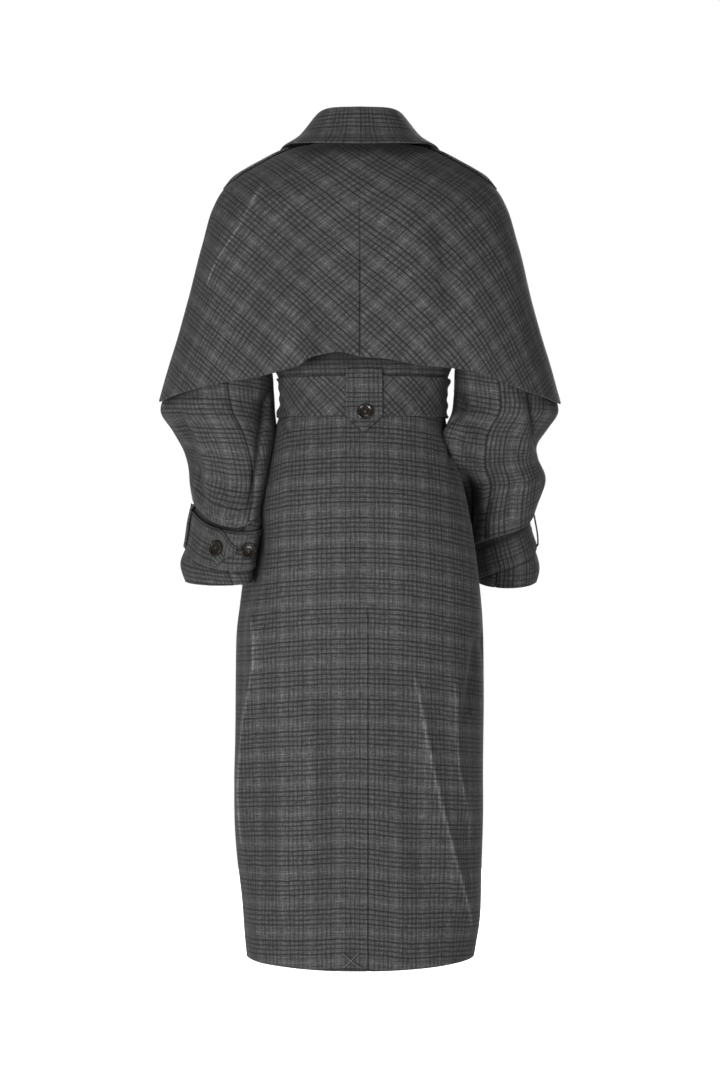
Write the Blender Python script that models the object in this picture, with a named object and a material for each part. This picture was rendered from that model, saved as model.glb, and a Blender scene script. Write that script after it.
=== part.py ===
import math

import bmesh
import bpy
import numpy as np
from mathutils import Matrix, Vector

# A long belted coat with a back cape, filled out as worn.
# Metres, +Z up, the wearer faces -Y and the wearer's left is +X.
# The origin is at the base of the neck, level with the shoulders that carry the coat.

MM = 0.001
CLOTH = 1.5 * MM
DOUBLED_CLOTH = 2.0 * MM
SEAM_GAP = 0.3 * MM
LAYER_GAP = 0.9 * MM
LAP_DEPTH = 3.2 * MM

NECK_Z = 8 * MM
WAIST_SEAM_Z = -352 * MM
HEM_Z = -1157 * MM
HEM_SIDE_RISE = 7 * MM

ARMHOLE_TOP_Z = -48 * MM
ARMHOLE_LOW_Z = -203 * MM
ARMHOLE_CUT = math.radians(25)
ARMHOLE_ROUND = 0.6
ARMHOLE_GAP = 2.4 * MM

NECKLINE_TOP_X = 58 * MM
NECKLINE_BREAK_Z = -235 * MM
FRONT_LAP_X = 45 * MM
FRONT_LAP_FULL_Z = -300 * MM
FRONT_STEP_TOP_Z = -205 * MM
FRONT_STEP_LOW_Z = -230 * MM
FRONT_STEP_STOPS = (9 * MM, 6 * MM, 3 * MM)

BACK_SEAM_X = -10 * MM
VENT_TOP_Z = -672 * MM
VENT_UNDERLAP_X = 30 * MM
VENT_STEP_TOP_Z = VENT_TOP_Z + 32 * MM
VENT_STEP_LOW_Z = VENT_TOP_Z + 4 * MM
VENT_TURN_Z = VENT_TOP_Z - 18 * MM
BACK_SEAM_STOPS = (4 * MM, 2 * MM, SEAM_GAP / 2)
LAP_STEP = 6.5 * MM
LAP_CLEAR = 0.6 * MM

BELT_TOP_Z = -324 * MM
BELT_LOW_Z = -379 * MM
BELT_THICK = 2.4 * MM
BELT_LAP_ANGLE = math.radians(205)
BELT_POINT = 0.04
BELT_POINT_CUT = 0.7
BELT_RAMP = math.radians(24)
LAP_END = 0.02

TAB_X = -6 * MM

STRAP_HALF_WIDTH = 27 * MM
STRAP_THICK = 1.8 * MM
STRAP_GAP = 1.5 * MM
STRAP_START = math.radians(75)
STRAP_TURN = math.radians(406)
STRAP_RAMP = math.radians(28)
STRAP_POINT = 0.09
STRAP_POINT_CUT = 0.8
RIGHT_STRAP_TURN = math.radians(185)

EPAULETTE_HALF_WIDTH = 19 * MM
EPAULETTE_TOP_Z = -3 * MM
EPAULETTE_LOW_Z = -55 * MM
EPAULETTE_POINT = 0.2
EPAULETTE_POINT_CUT = 0.6

SLEEVE_OVAL_Z = -215 * MM
SLEEVE_HEM_Z = -617 * MM
SLEEVE_CLEAR = 0.7 * MM
FRONT_SLEEVE_SEAM = math.radians(-112)

# How a sleeve leaves the armhole and arrives at its first level section, as shares of the reach.
LEAVE_OUT = 0.66
LEAVE_BACK = 0.35
LEAVE_DOWN = 0.35
LEAVE_DOWN_TOP = 0.3
ARRIVE_OUT = 0.12

BUTTON_RADIUS = 11.3 * MM
BUTTON_THICK = 3.6 * MM
BUTTON_SIDES = 16
BUTTON_CLEAR = 0.1 * MM
BELT_BUTTON_CLEAR = 1.0 * MM
TAB_BUTTON_X = -7 * MM
TAB_BUTTON_Z = -373 * MM
BELT_BUTTON_ANGLE = math.radians(178)
CUFF_LAP_BUTTON = math.radians(90)
CUFF_BAND_BUTTON = math.radians(143)

# A button's outline from its back to its middle, as shares of its radius and thickness.
BUTTON_PROFILE = (
    (0.0, 0.0),
    (0.80, 0.0),
    (1.0, 0.35),
    (1.0, 0.75),
    (0.90, 1.0),
    (0.74, 0.92),
    (0.55, 0.62),
    (0.0, 0.55),
)

# Heights of the rows of points, in millimetres, and how many steps a piece has across.
BODICE_ROWS = (8, -2, -12, -24, -36, -48, -75, -105, -140, -175, -203, -235, -262, -294, -324)
CAPE_ROWS = (2, -8, -20, -31, -43, -56, -76, -110, -150, -195, -240, -275, -303)
LAPEL_ROWS = (-14, -42, -60, -68, -90, -125, -165, -200, -229)
SKIRT_FRONT_ROWS = 12
SKIRT_BACK_ROWS = 11
STEPS = {
    "bodice_back": 10,
    "bodice_front_left": 6,
    "bodice_front_right": 8,
    "skirt_front_left": 7,
    "skirt_front_right": 8,
    "skirt_back_left": 9,
    "skirt_back_right": 7,
    "cape": 10,
    "collar_round": 16,
    "collar_across": 7,
    "lapel": 4,
    "sleeve_cap": 4,
    "sleeve_arm": 12,
    "sleeve_upper": 9,
    "sleeve_under": 5,
    "strap_round": 25,
    "strap_across": 2,
    "epaulette": 8,
    "belt": 40,
    "tab": 4,
}

# Steps for reading a surface's direction: round it, and along it.
TURN_STEP = 0.002
RUN_STEP = 0.0005

CLOTH_COLOUR = (0.075, 0.077, 0.077, 1.0)
CLOTH_ROUGHNESS = 0.85
BUTTON_COLOUR = (0.012, 0.011, 0.011, 1.0)
BUTTON_ROUGHNESS = 0.25

# Rings of the body of the coat, in millimetres: half width, depth behind and before the
# origin's upright axis, and how square the ring is (2 is an ellipse).
TORSO_COLUMNS = ("z", "half_width", "back", "front", "square")
TORSO = (
    (8, 66, 60, 40, 2.0),
    (-3, 101, 71, 52, 1.7),
    (-13, 121, 79, 60, 1.6),
    (-25, 144, 87, 70, 1.6),
    (-36, 164, 93, 79, 1.6),
    (-48, 177, 99, 87, 1.7),
    (-90, 173, 108, 103, 1.9),
    (-130, 164, 112, 113, 2.1),
    (-200, 151, 111, 120, 2.2),
    (-260, 138, 101, 112, 2.2),
    (-323, 120, 89, 98, 2.2),
    (-352, 116, 86, 94, 2.2),
    (-380, 118.5, 89, 96, 2.2),
    (-420, 130.5, 100, 104, 2.2),
    (-470, 145, 112, 112, 2.2),
    (-520, 156, 120, 118, 2.2),
    (-570, 164, 124, 121, 2.2),
    (-660, 174.5, 126, 123, 2.2),
    (-760, 177, 126, 123, 2.2),
    (-870, 176, 125, 122, 2.2),
    (-1000, 173.5, 123, 120, 2.2),
    (-1070, 168, 121, 118, 2.2),
    (-1160, 160, 118, 115, 2.2),
)

# The largest folds of the skirt, in millimetres: side is 1 behind and -1 in front.
FOLD_COLUMNS = ("side", "x_top", "z_top", "x_low", "z_low", "half_width", "rise")
FOLD_RUN_IN = (-0.15, 0.25)
FOLD_RUN_OUT = (0.85, 1.25)
FOLDS = (
    (1, -82, -772, -163, -1125, 24, 6),
    (1, -138, -740, -146, -930, 15, 4),
    (1, 104, -700, 134, -1137, 24, 5),
    (1, 154, -640, 166, -1000, 14, 5),
    (-1, -62, -470, -104, -1120, 26, 6),
    (-1, 98, -480, 128, -1130, 28, 6),
)

# The left cuff presses the skirt's side in, round an angle from the centre back.
DENT_ANGLE = math.radians(70)
DENT_HALF_ANGLE = math.radians(17)
DENT_DEPTH = 13 * MM
DENT_RUN_IN = (-505 * MM, -565 * MM)
DENT_RUN_OUT = (-625 * MM, -700 * MM)

# Rows of the cape, in millimetres: height at the centre back, how far the side hangs below it,
# half width, depths, squareness, and the angle in degrees that half of it reaches round.
CAPE_COLUMNS = ("z", "droop", "half_width", "back", "front", "square", "reach")
CAPE = (
    (2, 0, 94, 70, 50, 1.8, 84),
    (-8, 0, 119, 80, 62, 1.7, 85),
    (-20, 0, 142, 90, 72, 1.65, 86),
    (-31, 0, 162, 97, 80, 1.65, 87),
    (-43, 0, 180.5, 103, 84, 1.7, 90),
    (-56, 2, 195.5, 108, 84, 1.8, 95),
    (-76, 8, 211, 113, 80, 2.0, 98),
    (-120, 20, 229, 120, 74, 2.2, 100),
    (-180, 38, 248, 127, 68, 2.35, 101),
    (-240, 54, 267, 132, 64, 2.4, 102),
    (-303, 68, 287, 137, 62, 2.4, 102),
)
CAPE_DROOP_POWER = 0.9

# Level sections of a sleeve below the armhole, in millimetres: inner and outer edge, back and
# front edge, how far the section's plane drops for each step towards the back, and how far it
# is skewed towards the back for each step outwards.
SLEEVE_COLUMNS = ("z", "x_in", "x_out", "y_back", "y_front", "tilt", "skew")
LEFT_SLEEVE = (
    (-215, 158, 235, 56, -62, 0.00, 0.00),
    (-260, 147, 248, 58, -64, 0.00, 0.00),
    (-310, 135, 264, 60, -66, 0.00, 0.00),
    (-345, 127, 274, 60, -67, 0.00, 0.00),
    (-378, 124.5, 281.5, 57, -68, 0.04, -0.08),
    (-400, 126, 269, 55, -62, 0.07, -0.28),
    (-430, 133, 254.5, 54, -54, 0.10, -0.58),
    (-460, 141, 246, 56, -46, 0.11, -0.70),
    (-500, 148.5, 240, 58, -36, 0.12, -0.74),
    (-530, 150, 245, 60, -30, 0.12, -0.75),
    (-565, 150, 254, 63, -26, 0.11, -0.75),
    (-590, 151, 257, 65, -24, 0.10, -0.75),
    (-625, 152, 248, 66, -22, 0.10, -0.75),
)
RIGHT_SLEEVE = (
    (-215, 158, 235, 56, -62, 0.00, 0.00),
    (-260, 147, 248, 58, -64, 0.00, 0.00),
    (-310, 137, 264, 60, -66, 0.00, 0.00),
    (-345, 135, 274, 60, -67, 0.00, 0.00),
    (-378, 134, 281.5, 56, -70, 0.05, 0.00),
    (-400, 127, 268, 45, -77, 0.12, 0.00),
    (-430, 132, 253, 28, -92, 0.18, 0.00),
    (-470, 140, 256, 5, -108, 0.20, 0.00),
    (-505, 148, 250.5, -13, -124, 0.20, 0.00),
    (-530, 152, 249, -26, -135, 0.20, 0.00),
    (-565, 159, 253, -40, -146, 0.20, 0.00),
    (-600, 166, 256, -51, -154, 0.20, 0.00),
    (-625, 172, 247, -57, -158, 0.20, 0.00),
)

# Where the back seam of a sleeve runs, as an angle round it from the outer edge, in degrees.
SLEEVE_SEAM_COLUMNS = ("z", "angle")
SLEEVE_SEAM = (
    (-48, 95),
    (-215, 97),
    (-330, 99),
    (-400, 112),
    (-500, 131),
    (-540, 124),
    (-585, 108),
    (-630, 120),
)

# Height of a cuff strap's middle line round the cuff, in millimetres and degrees.
STRAP_COLUMNS = ("angle", "z")
LEFT_STRAP = (
    (0, -535),
    (90, -560),
    (180, -568),
    (270, -550),
    (360, -535),
)
RIGHT_STRAP = (
    (0, -546),
    (90, -560),
    (180, -582),
    (270, -566),
    (360, -546),
)

# The collar at stations from the centre back to its front end, in millimetres: neck seam,
# fold line and outer edge.
COLLAR_COLUMNS = ("station", "xs", "ys", "zs", "xf", "yf", "zf", "xe", "ye", "ze")
COLLAR = (
    (0.0, 0, 59.3, 8.4, 0, 60, 47, 0, 100, -3),
    (0.28, 44, 44.2, 8.4, 40, 47.5, 46.5, 70, 84, -1),
    (0.52, 65, 6, 8.6, 55, 8, 43, 104, 30, 5),
    (0.76, 65, -31, 5, 57, -33, 33, 115, -39, -12),
    (1.0, 58, -65, -24, 57, -73, -12, 111, -84, -66),
)
COLLAR_FOLD_RISE = 4 * MM
COLLAR_FOLD_SPREAD = 5 * MM
COLLAR_FALL_BOW = -1 * MM
COLLAR_STAND_SHARE = 0.55
COLLAR_ROLL = 2.2
COLLAR_FALL_SHARE = 0.6
LAPEL_LIFT = 1.2 * MM

# Width of a lapel outwards from the neckline, in millimetres.
LAPEL_COLUMNS = ("z", "width")
LAPEL = (
    (-14, 24),
    (-42, 50),
    (-68, 86),
    (-110, 76),
    (-165, 46),
    (-210, 18),
    (-229, 5),
)

# The belt tab from top to point, in millimetres: height, clearance off the coat, half width.
TAB_COLUMNS = ("z", "lift", "half_width")
TAB = (
    (-314, 0.6, 24),
    (-319, 3.2, 24),
    (-324, 4.2, 24),
    (-352, 4.2, 24.5),
    (-378, 4.2, 24.5),
    (-384, 3.0, 21),
    (-401, 1.0, 2),
)


def in_metres(rows, plain=()):
    table = np.array(rows, float)
    scale = [1.0 if k in plain else MM for k in range(table.shape[1])]
    return table * np.array(scale)


TORSO_TABLE = in_metres(TORSO, plain=(4,))
CAPE_TABLE = in_metres(CAPE, plain=(5, 6))
LEFT_SLEEVE_TABLE = in_metres(LEFT_SLEEVE, plain=(5, 6))
RIGHT_SLEEVE_TABLE = in_metres(RIGHT_SLEEVE, plain=(5, 6))
SLEEVE_SEAM_TABLE = in_metres(SLEEVE_SEAM, plain=(1,))
LEFT_STRAP_TABLE = in_metres(LEFT_STRAP, plain=(0,))
RIGHT_STRAP_TABLE = in_metres(RIGHT_STRAP, plain=(0,))
COLLAR_TABLE = in_metres(COLLAR, plain=(0,))
LAPEL_TABLE = in_metres(LAPEL)
TAB_TABLE = in_metres(TAB)

# Each cuff: its sleeve, whether it is mirrored, where its strap starts, and the strap's line.
CUFFS = (
    ("left", LEFT_SLEEVE_TABLE, False, STRAP_START, LEFT_STRAP_TABLE),
    ("right", RIGHT_SLEEVE_TABLE, True, STRAP_START + RIGHT_STRAP_TURN, RIGHT_STRAP_TABLE),
)


def read_table(table, columns, name, at):
    """One column of a table at a value of its first column, on a smooth curve."""
    order = np.argsort(table[:, 0])
    keys = table[order, 0]
    values = table[order, columns.index(name)]
    at = min(max(at, keys[0]), keys[-1])
    k = min(max(int(np.searchsorted(keys, at)) - 1, 0), len(keys) - 2)
    slopes = np.gradient(values, keys)
    span = keys[k + 1] - keys[k]
    t = (at - keys[k]) / span
    start = (2 * t**3 - 3 * t**2 + 1) * values[k] + (t**3 - 2 * t**2 + t) * span * slopes[k]
    end = (3 * t**2 - 2 * t**3) * values[k + 1] + (t**3 - t**2) * span * slopes[k + 1]
    return start + end


def ease(value, low, high):
    t = min(max((value - low) / (high - low), 0.0), 1.0)
    return t * t * (3 - 2 * t)


def power(value, exponent):
    return math.copysign(abs(value) ** exponent, value)


def ring_point(angle, half_width, back, front, square):
    """A point of a squarish ring; the angle runs from the centre back towards +X."""
    depth = back if math.cos(angle) > 0 else front
    x = half_width * power(math.sin(angle), 2 / square)
    y = depth * power(math.cos(angle), 2 / square)
    return x, y


def fold_rise(x, y, z):
    rise = 0.0
    for row in FOLDS:
        fold = dict(zip(FOLD_COLUMNS, row))
        if fold["side"] * y <= 0:
            continue
        t = (z / MM - fold["z_top"]) / (fold["z_low"] - fold["z_top"])
        middle = fold["x_top"] + (fold["x_low"] - fold["x_top"]) * t
        fade = ease(t, *FOLD_RUN_IN) * (1 - ease(t, *FOLD_RUN_OUT))
        away = (x / MM - middle) / fold["half_width"]
        rise += fold["rise"] * MM * fade * math.exp(-(away**2))
    return rise


def dent_rise(angle, z):
    away = (angle - DENT_ANGLE) / DENT_HALF_ANGLE
    fade = ease(z, *DENT_RUN_IN) * (1 - ease(z, *DENT_RUN_OUT))
    return -DENT_DEPTH * fade * math.exp(-(away**2))


def torso(angle, z):
    """The outer face of the coat's body at an angle from the centre back and a height."""
    sizes = [read_table(TORSO_TABLE, TORSO_COLUMNS, name, z) for name in TORSO_COLUMNS[1:]]
    x, y = ring_point(angle, *sizes)
    rise = fold_rise(x, y, z) + dent_rise(angle, z)
    out = Vector((x, y)).normalized()
    return Vector((x + out.x * rise, y + out.y * rise, z))


def torso_angle(z, x, behind):
    """The angle at which the body's ring passes a given X."""
    half_width = read_table(TORSO_TABLE, TORSO_COLUMNS, "half_width", z)
    square = read_table(TORSO_TABLE, TORSO_COLUMNS, "square", z)
    share = min(abs(x) / half_width, 1.0)
    angle = math.asin(share ** (square / 2))
    angle = angle if behind else math.pi - angle
    return math.copysign(angle, x)


def cape(angle, row):
    """The outer face of the cape; row is the height at the centre back."""
    names = ("half_width", "back", "front", "square")
    sizes = [read_table(CAPE_TABLE, CAPE_COLUMNS, name, row) for name in names]
    x, y = ring_point(angle, *sizes)
    reach = math.radians(read_table(CAPE_TABLE, CAPE_COLUMNS, "reach", row))
    droop = read_table(CAPE_TABLE, CAPE_COLUMNS, "droop", row)
    return Vector((x, y, row - droop * abs(angle / reach) ** CAPE_DROOP_POWER))


def armhole_cut(z):
    """How far the armhole cuts a panel back from the side, as an angle."""
    t = (z - ARMHOLE_LOW_Z) / (ARMHOLE_TOP_Z - ARMHOLE_LOW_Z)
    if t <= 0 or t >= 1:
        return 0.0
    return ARMHOLE_CUT * math.sin(math.pi * t) ** ARMHOLE_ROUND


def armhole(angle):
    """The armhole edge at an angle round the sleeve: 0 is the shoulder, 90 degrees the back."""
    middle = (ARMHOLE_TOP_Z + ARMHOLE_LOW_Z) / 2
    half = (ARMHOLE_TOP_Z - ARMHOLE_LOW_Z) / 2
    z = middle + half * math.cos(angle)
    turn = math.copysign(armhole_cut(z), math.sin(angle))
    return torso(math.pi / 2 - turn, z) + Vector((SLEEVE_CLEAR, 0, 0))


def sleeve_section(table, angle, z):
    sizes = {n: read_table(table, SLEEVE_COLUMNS, n, z) for n in SLEEVE_COLUMNS[1:]}
    middle_x = (sizes["x_in"] + sizes["x_out"]) / 2
    middle_y = (sizes["y_back"] + sizes["y_front"]) / 2
    x = (sizes["x_out"] - sizes["x_in"]) / 2 * math.cos(angle)
    y = (sizes["y_back"] - sizes["y_front"]) / 2 * math.sin(angle)
    return Vector((middle_x + x, middle_y + y + sizes["skew"] * x, z - sizes["tilt"] * y))


def sleeve(table):
    """A left-hand sleeve: rows from 0 to 1 leave the armhole, and from 1 to 2 follow the table."""

    def surface(angle, row):
        if row >= 1:
            z = SLEEVE_OVAL_Z + (row - 1) * (SLEEVE_HEM_Z - SLEEVE_OVAL_Z)
            return sleeve_section(table, angle, z)
        start = armhole(angle)
        end = sleeve_section(table, angle, SLEEVE_OVAL_Z)
        reach = (end - start).length
        down = LEAVE_DOWN + LEAVE_DOWN_TOP * math.cos(angle)
        leave = Vector((LEAVE_OUT, LEAVE_BACK * math.sin(angle), -down)) * reach
        arrive = Vector((ARRIVE_OUT * math.cos(angle), 0, -1)) * reach
        t = row
        return (
            start * (2 * t**3 - 3 * t**2 + 1)
            + leave * (t**3 - 2 * t**2 + t)
            + end * (3 * t**2 - 2 * t**3)
            + arrive * (t**3 - t**2)
        )

    return surface


def collar(station, across):
    """The collar's middle layer: across runs from the neck seam (0) over the fold to the edge (1)."""
    at = abs(station)
    value = {n: read_table(COLLAR_TABLE, COLLAR_COLUMNS, n, at) for n in COLLAR_COLUMNS[1:]}
    seam = Vector((value["xs"], value["ys"], value["zs"]))
    fold = Vector((value["xf"], value["yf"], value["zf"]))
    edge = Vector((value["xe"], value["ye"], value["ze"]))
    out = edge - fold
    out.z = 0
    out.normalize()
    up = Vector((0, 0, 1))
    knots = (
        seam,
        seam.lerp(fold, COLLAR_STAND_SHARE),
        fold,
        fold + out * COLLAR_FOLD_SPREAD + up * COLLAR_FOLD_RISE,
        fold + out * COLLAR_ROLL * COLLAR_FOLD_SPREAD,
        fold.lerp(edge, COLLAR_FALL_SHARE) + (out + up) * COLLAR_FALL_BOW,
        edge,
    )
    place = across * (len(knots) - 1)
    k = min(max(int(place), 0), len(knots) - 2)
    t = place - k
    before = knots[max(k - 1, 0)]
    after = knots[min(k + 2, len(knots) - 1)]
    leave = (knots[k + 1] - before) / 2
    arrive = (after - knots[k]) / 2
    point = (
        knots[k] * (2 * t**3 - 3 * t**2 + 1)
        + leave * (t**3 - 2 * t**2 + t)
        + knots[k + 1] * (3 * t**2 - 2 * t**3)
        + arrive * (t**3 - t**2)
    )
    point.x = math.copysign(point.x, station)
    return point


def normal_at(surface, turn, run, facing):
    across = surface(turn + TURN_STEP, run) - surface(turn - TURN_STEP, run)
    along = surface(turn, run + RUN_STEP) - surface(turn, run - RUN_STEP)
    return along.cross(across).normalized() * facing


def moved_out(surface, turn, run, out, facing):
    return surface(turn, run) + normal_at(surface, turn, run, facing) * out


def make_material(name, colour, roughness):
    material = bpy.data.materials.new(name)
    material.use_nodes = True
    shader = material.node_tree.nodes["Principled BSDF"]
    shader.inputs["Base Color"].default_value = colour
    shader.inputs["Roughness"].default_value = roughness
    shader.inputs["Metallic"].default_value = 0.0
    return material


def add_object(name, mesh_builder, colour, roughness):
    mesh = bpy.data.meshes.new(name)
    bmesh.ops.recalc_face_normals(mesh_builder, faces=mesh_builder.faces)
    mesh_builder.to_mesh(mesh)
    mesh_builder.free()
    mesh.shade_smooth()
    mesh.set_sharp_from_angle(angle=math.radians(40))
    mesh.materials.append(make_material(name, colour, roughness))
    piece = bpy.data.objects.new(name, mesh)
    bpy.context.scene.collection.objects.link(piece)
    return piece


def add_wall(name, outer, inner, mirrored=False):
    """A closed wall between two grids of points, with a rim all round."""
    builder = bmesh.new()
    sign = -1 if mirrored else 1
    layers = []
    for grid in (outer, inner):
        rows = [[builder.verts.new((sign * p.x, p.y, p.z)) for p in row] for row in grid]
        layers.append(rows)
    row_count = len(outer)
    column_count = len(outer[0])
    for rows in layers:
        for i in range(row_count - 1):
            for j in range(column_count - 1):
                builder.faces.new((rows[i][j], rows[i][j + 1], rows[i + 1][j + 1], rows[i + 1][j]))
    rim = [(0, j) for j in range(column_count)]
    rim += [(i, column_count - 1) for i in range(1, row_count)]
    rim += [(row_count - 1, j) for j in range(column_count - 2, -1, -1)]
    rim += [(i, 0) for i in range(row_count - 2, 0, -1)]
    top, under = layers
    for (i, j), (m, n) in zip(rim, rim[1:] + rim[:1]):
        builder.faces.new((top[i][j], under[i][j], under[m][n], top[m][n]))
    return add_object(name, builder, CLOTH_COLOUR, CLOTH_ROUGHNESS)


def add_panel(name, surface, places, out, thick, facing=1, mirrored=False):
    """A wall of cloth on a surface; out is the height of its outer face, as a function of place."""
    outer = []
    inner = []
    for row in places:
        outer.append([moved_out(surface, a, b, out(a, b), facing) for a, b in row])
        inner.append([moved_out(surface, a, b, out(a, b) - thick, facing) for a, b in row])
    return add_wall(name, outer, inner, mirrored)


def steps(start, end, count):
    return [start + (end - start) * k / count for k in range(count + 1)]


def flat_layer(height):
    return lambda turn, run: height


def side_gap(z):
    """Half of a seam's gap, as an angle on the body's ring."""
    return SEAM_GAP / 2 / read_table(TORSO_TABLE, TORSO_COLUMNS, "half_width", z)


def armhole_edge(z):
    """Where a bodice panel ends, as an angle from the side."""
    gap = ARMHOLE_GAP if ARMHOLE_LOW_Z < z < ARMHOLE_TOP_Z else SEAM_GAP
    return armhole_cut(z) + gap / read_table(TORSO_TABLE, TORSO_COLUMNS, "half_width", z)


def bodice_heights():
    return [h * MM for h in BODICE_ROWS] + [WAIST_SEAM_Z + SEAM_GAP / 2]


def skirt_heights(count):
    """The waist seam, the belt's lower edge, then even steps to the hem."""
    return [WAIST_SEAM_Z - SEAM_GAP / 2] + steps(BELT_LOW_Z, HEM_Z, count)


def make_bodice_back():
    places = []
    for z in bodice_heights():
        edge = math.pi / 2 - armhole_edge(z)
        places.append([(turn, z) for turn in steps(-edge, edge, STEPS["bodice_back"])])
    add_panel("bodice_back", torso, places, flat_layer(0.0), CLOTH)


def neckline_x(z):
    """How far a front's neckline is from the centre, before the fronts lap."""
    return NECKLINE_TOP_X * (z - NECKLINE_BREAK_Z) / (NECK_Z - NECKLINE_BREAK_Z)


def front_edge_x(z):
    """A front's free edge, measured towards its own side; below the neckline it laps across."""
    if z >= NECKLINE_BREAK_Z:
        return neckline_x(z)
    return -FRONT_LAP_X * ease(z, NECKLINE_BREAK_Z, FRONT_LAP_FULL_Z)


def under_front(turn, z):
    """The left front steps inwards where the right one laps over it."""
    x = torso(turn, z).x
    step_x = FRONT_LAP_X + LAP_CLEAR
    across = 1 - ease(x, step_x, step_x + LAP_STEP)
    return -LAP_DEPTH * across * ease(z, FRONT_STEP_TOP_Z, FRONT_STEP_LOW_Z)


def front_angle(z, x):
    """The angle of a point of the front, counted on past the centre front."""
    return torso_angle(z, x, False) % (2 * math.pi)


def front_places(heights, columns, under):
    places = []
    for z in heights:
        side = math.pi / 2 + armhole_edge(z)
        edge = front_edge_x(z)
        step_x = FRONT_LAP_X + LAP_CLEAR
        first, second, third = FRONT_STEP_STOPS
        inner = max(step_x + LAP_STEP, edge + first) if under else edge
        row = steps(side, front_angle(z, inner), columns)
        if under:
            stops = (max(step_x, edge + second), max(0.0, edge + third), edge)
            row += [front_angle(z, x) for x in stops]
        places.append([(turn, z) for turn in row])
    return places


def make_bodice_fronts():
    places = front_places(bodice_heights(), STEPS["bodice_front_left"], True)
    add_panel("bodice_front_left", torso, places, under_front, CLOTH)
    places = front_places(bodice_heights(), STEPS["bodice_front_right"], False)
    add_panel("bodice_front_right", torso, places, flat_layer(0.0), CLOTH, mirrored=True)


def hem_lift(turn, z):
    """The hem is a little higher at the sides than at the centre back."""
    share = ease(z, VENT_TOP_Z, HEM_Z)
    return z + HEM_SIDE_RISE * share * math.sin(turn) ** 2


def make_skirt_fronts():
    heights = skirt_heights(SKIRT_FRONT_ROWS)
    places = front_places(heights, STEPS["skirt_front_left"], True)
    places = [[(turn, hem_lift(turn, z)) for turn, z in row] for row in places]
    add_panel("skirt_front_left", torso, places, under_front, CLOTH)
    places = front_places(heights, STEPS["skirt_front_right"], False)
    places = [[(turn, hem_lift(turn, z)) for turn, z in row] for row in places]
    add_panel("skirt_front_right", mirrored_torso, places, flat_layer(0.0), CLOTH, 1, True)


def mirrored_torso(turn, z):
    """The body seen from its other side, for pieces that are mirrored when they are made."""
    point = torso(-turn, z)
    return Vector((-point.x, point.y, point.z))


def under_vent(turn, z):
    """The right back panel steps inwards under the left one below the top of the vent."""
    x = torso(turn, z).x
    across = ease(x, BACK_SEAM_X - LAP_STEP, BACK_SEAM_X - LAP_CLEAR)
    return -LAP_DEPTH * across * ease(z, VENT_STEP_TOP_Z, VENT_STEP_LOW_Z)


def make_skirt_backs():
    heights = skirt_heights(SKIRT_BACK_ROWS) + [VENT_TOP_Z, VENT_TURN_Z]
    heights.sort(reverse=True)
    left = []
    right = []
    for z in heights:
        side = math.pi / 2 - 2 * side_gap(z)
        seam = torso_angle(z, BACK_SEAM_X + SEAM_GAP / 2, True)
        left.append([(turn, hem_lift(turn, z)) for turn in steps(seam, side, STEPS["skirt_back_left"])])
        step = torso_angle(z, BACK_SEAM_X - LAP_STEP, True)
        row = steps(-side, step, STEPS["skirt_back_right"])
        stops = [BACK_SEAM_X - stop for stop in BACK_SEAM_STOPS]
        if z < VENT_TOP_Z - MM:
            stops = [BACK_SEAM_X - LAP_CLEAR, VENT_UNDERLAP_X / 3, VENT_UNDERLAP_X]
        row += [torso_angle(z, x, True) for x in stops]
        right.append([(turn, hem_lift(turn, z)) for turn in row])
    add_panel("skirt_back_left", torso, left, flat_layer(0.0), CLOTH)
    add_panel("skirt_back_right", torso, right, under_vent, CLOTH)


def make_cape():
    for name, mirrored in (("cape_left", False), ("cape_right", True)):
        places = []
        for row in [h * MM for h in CAPE_ROWS]:
            reach = math.radians(read_table(CAPE_TABLE, CAPE_COLUMNS, "reach", row))
            seam = SEAM_GAP / 2 / read_table(CAPE_TABLE, CAPE_COLUMNS, "half_width", row)
            places.append([(turn, row) for turn in steps(2 * seam, reach, STEPS["cape"])])
        add_panel(name, cape, places, flat_layer(0.0), CLOTH, mirrored=mirrored)


def make_collar():
    rows = []
    for station in steps(-1.0, 1.0, STEPS["collar_round"]):
        rows.append([(station, across) for across in steps(0.0, 1.0, STEPS["collar_across"])])
    add_panel("collar", collar, rows, flat_layer(DOUBLED_CLOTH / 2), DOUBLED_CLOTH)


def make_lapels():
    for name, mirrored in (("lapel_left", False), ("lapel_right", True)):
        places = []
        for z in [h * MM for h in LAPEL_ROWS]:
            inner = neckline_x(z) + MM
            width = read_table(LAPEL_TABLE, LAPEL_COLUMNS, "width", z)
            stops = steps(inner, inner + width, STEPS["lapel"])
            places.append([(torso_angle(z, x, False), z) for x in stops])
        add_panel(name, torso, places, flat_layer(LAPEL_LIFT + CLOTH), CLOTH, mirrored=mirrored)


def half_gap(surface, turn, row):
    """Half a seam's gap as an angle round the sleeve."""
    step = surface(turn + TURN_STEP, row) - surface(turn - TURN_STEP, row)
    return SEAM_GAP * TURN_STEP / step.length


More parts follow.
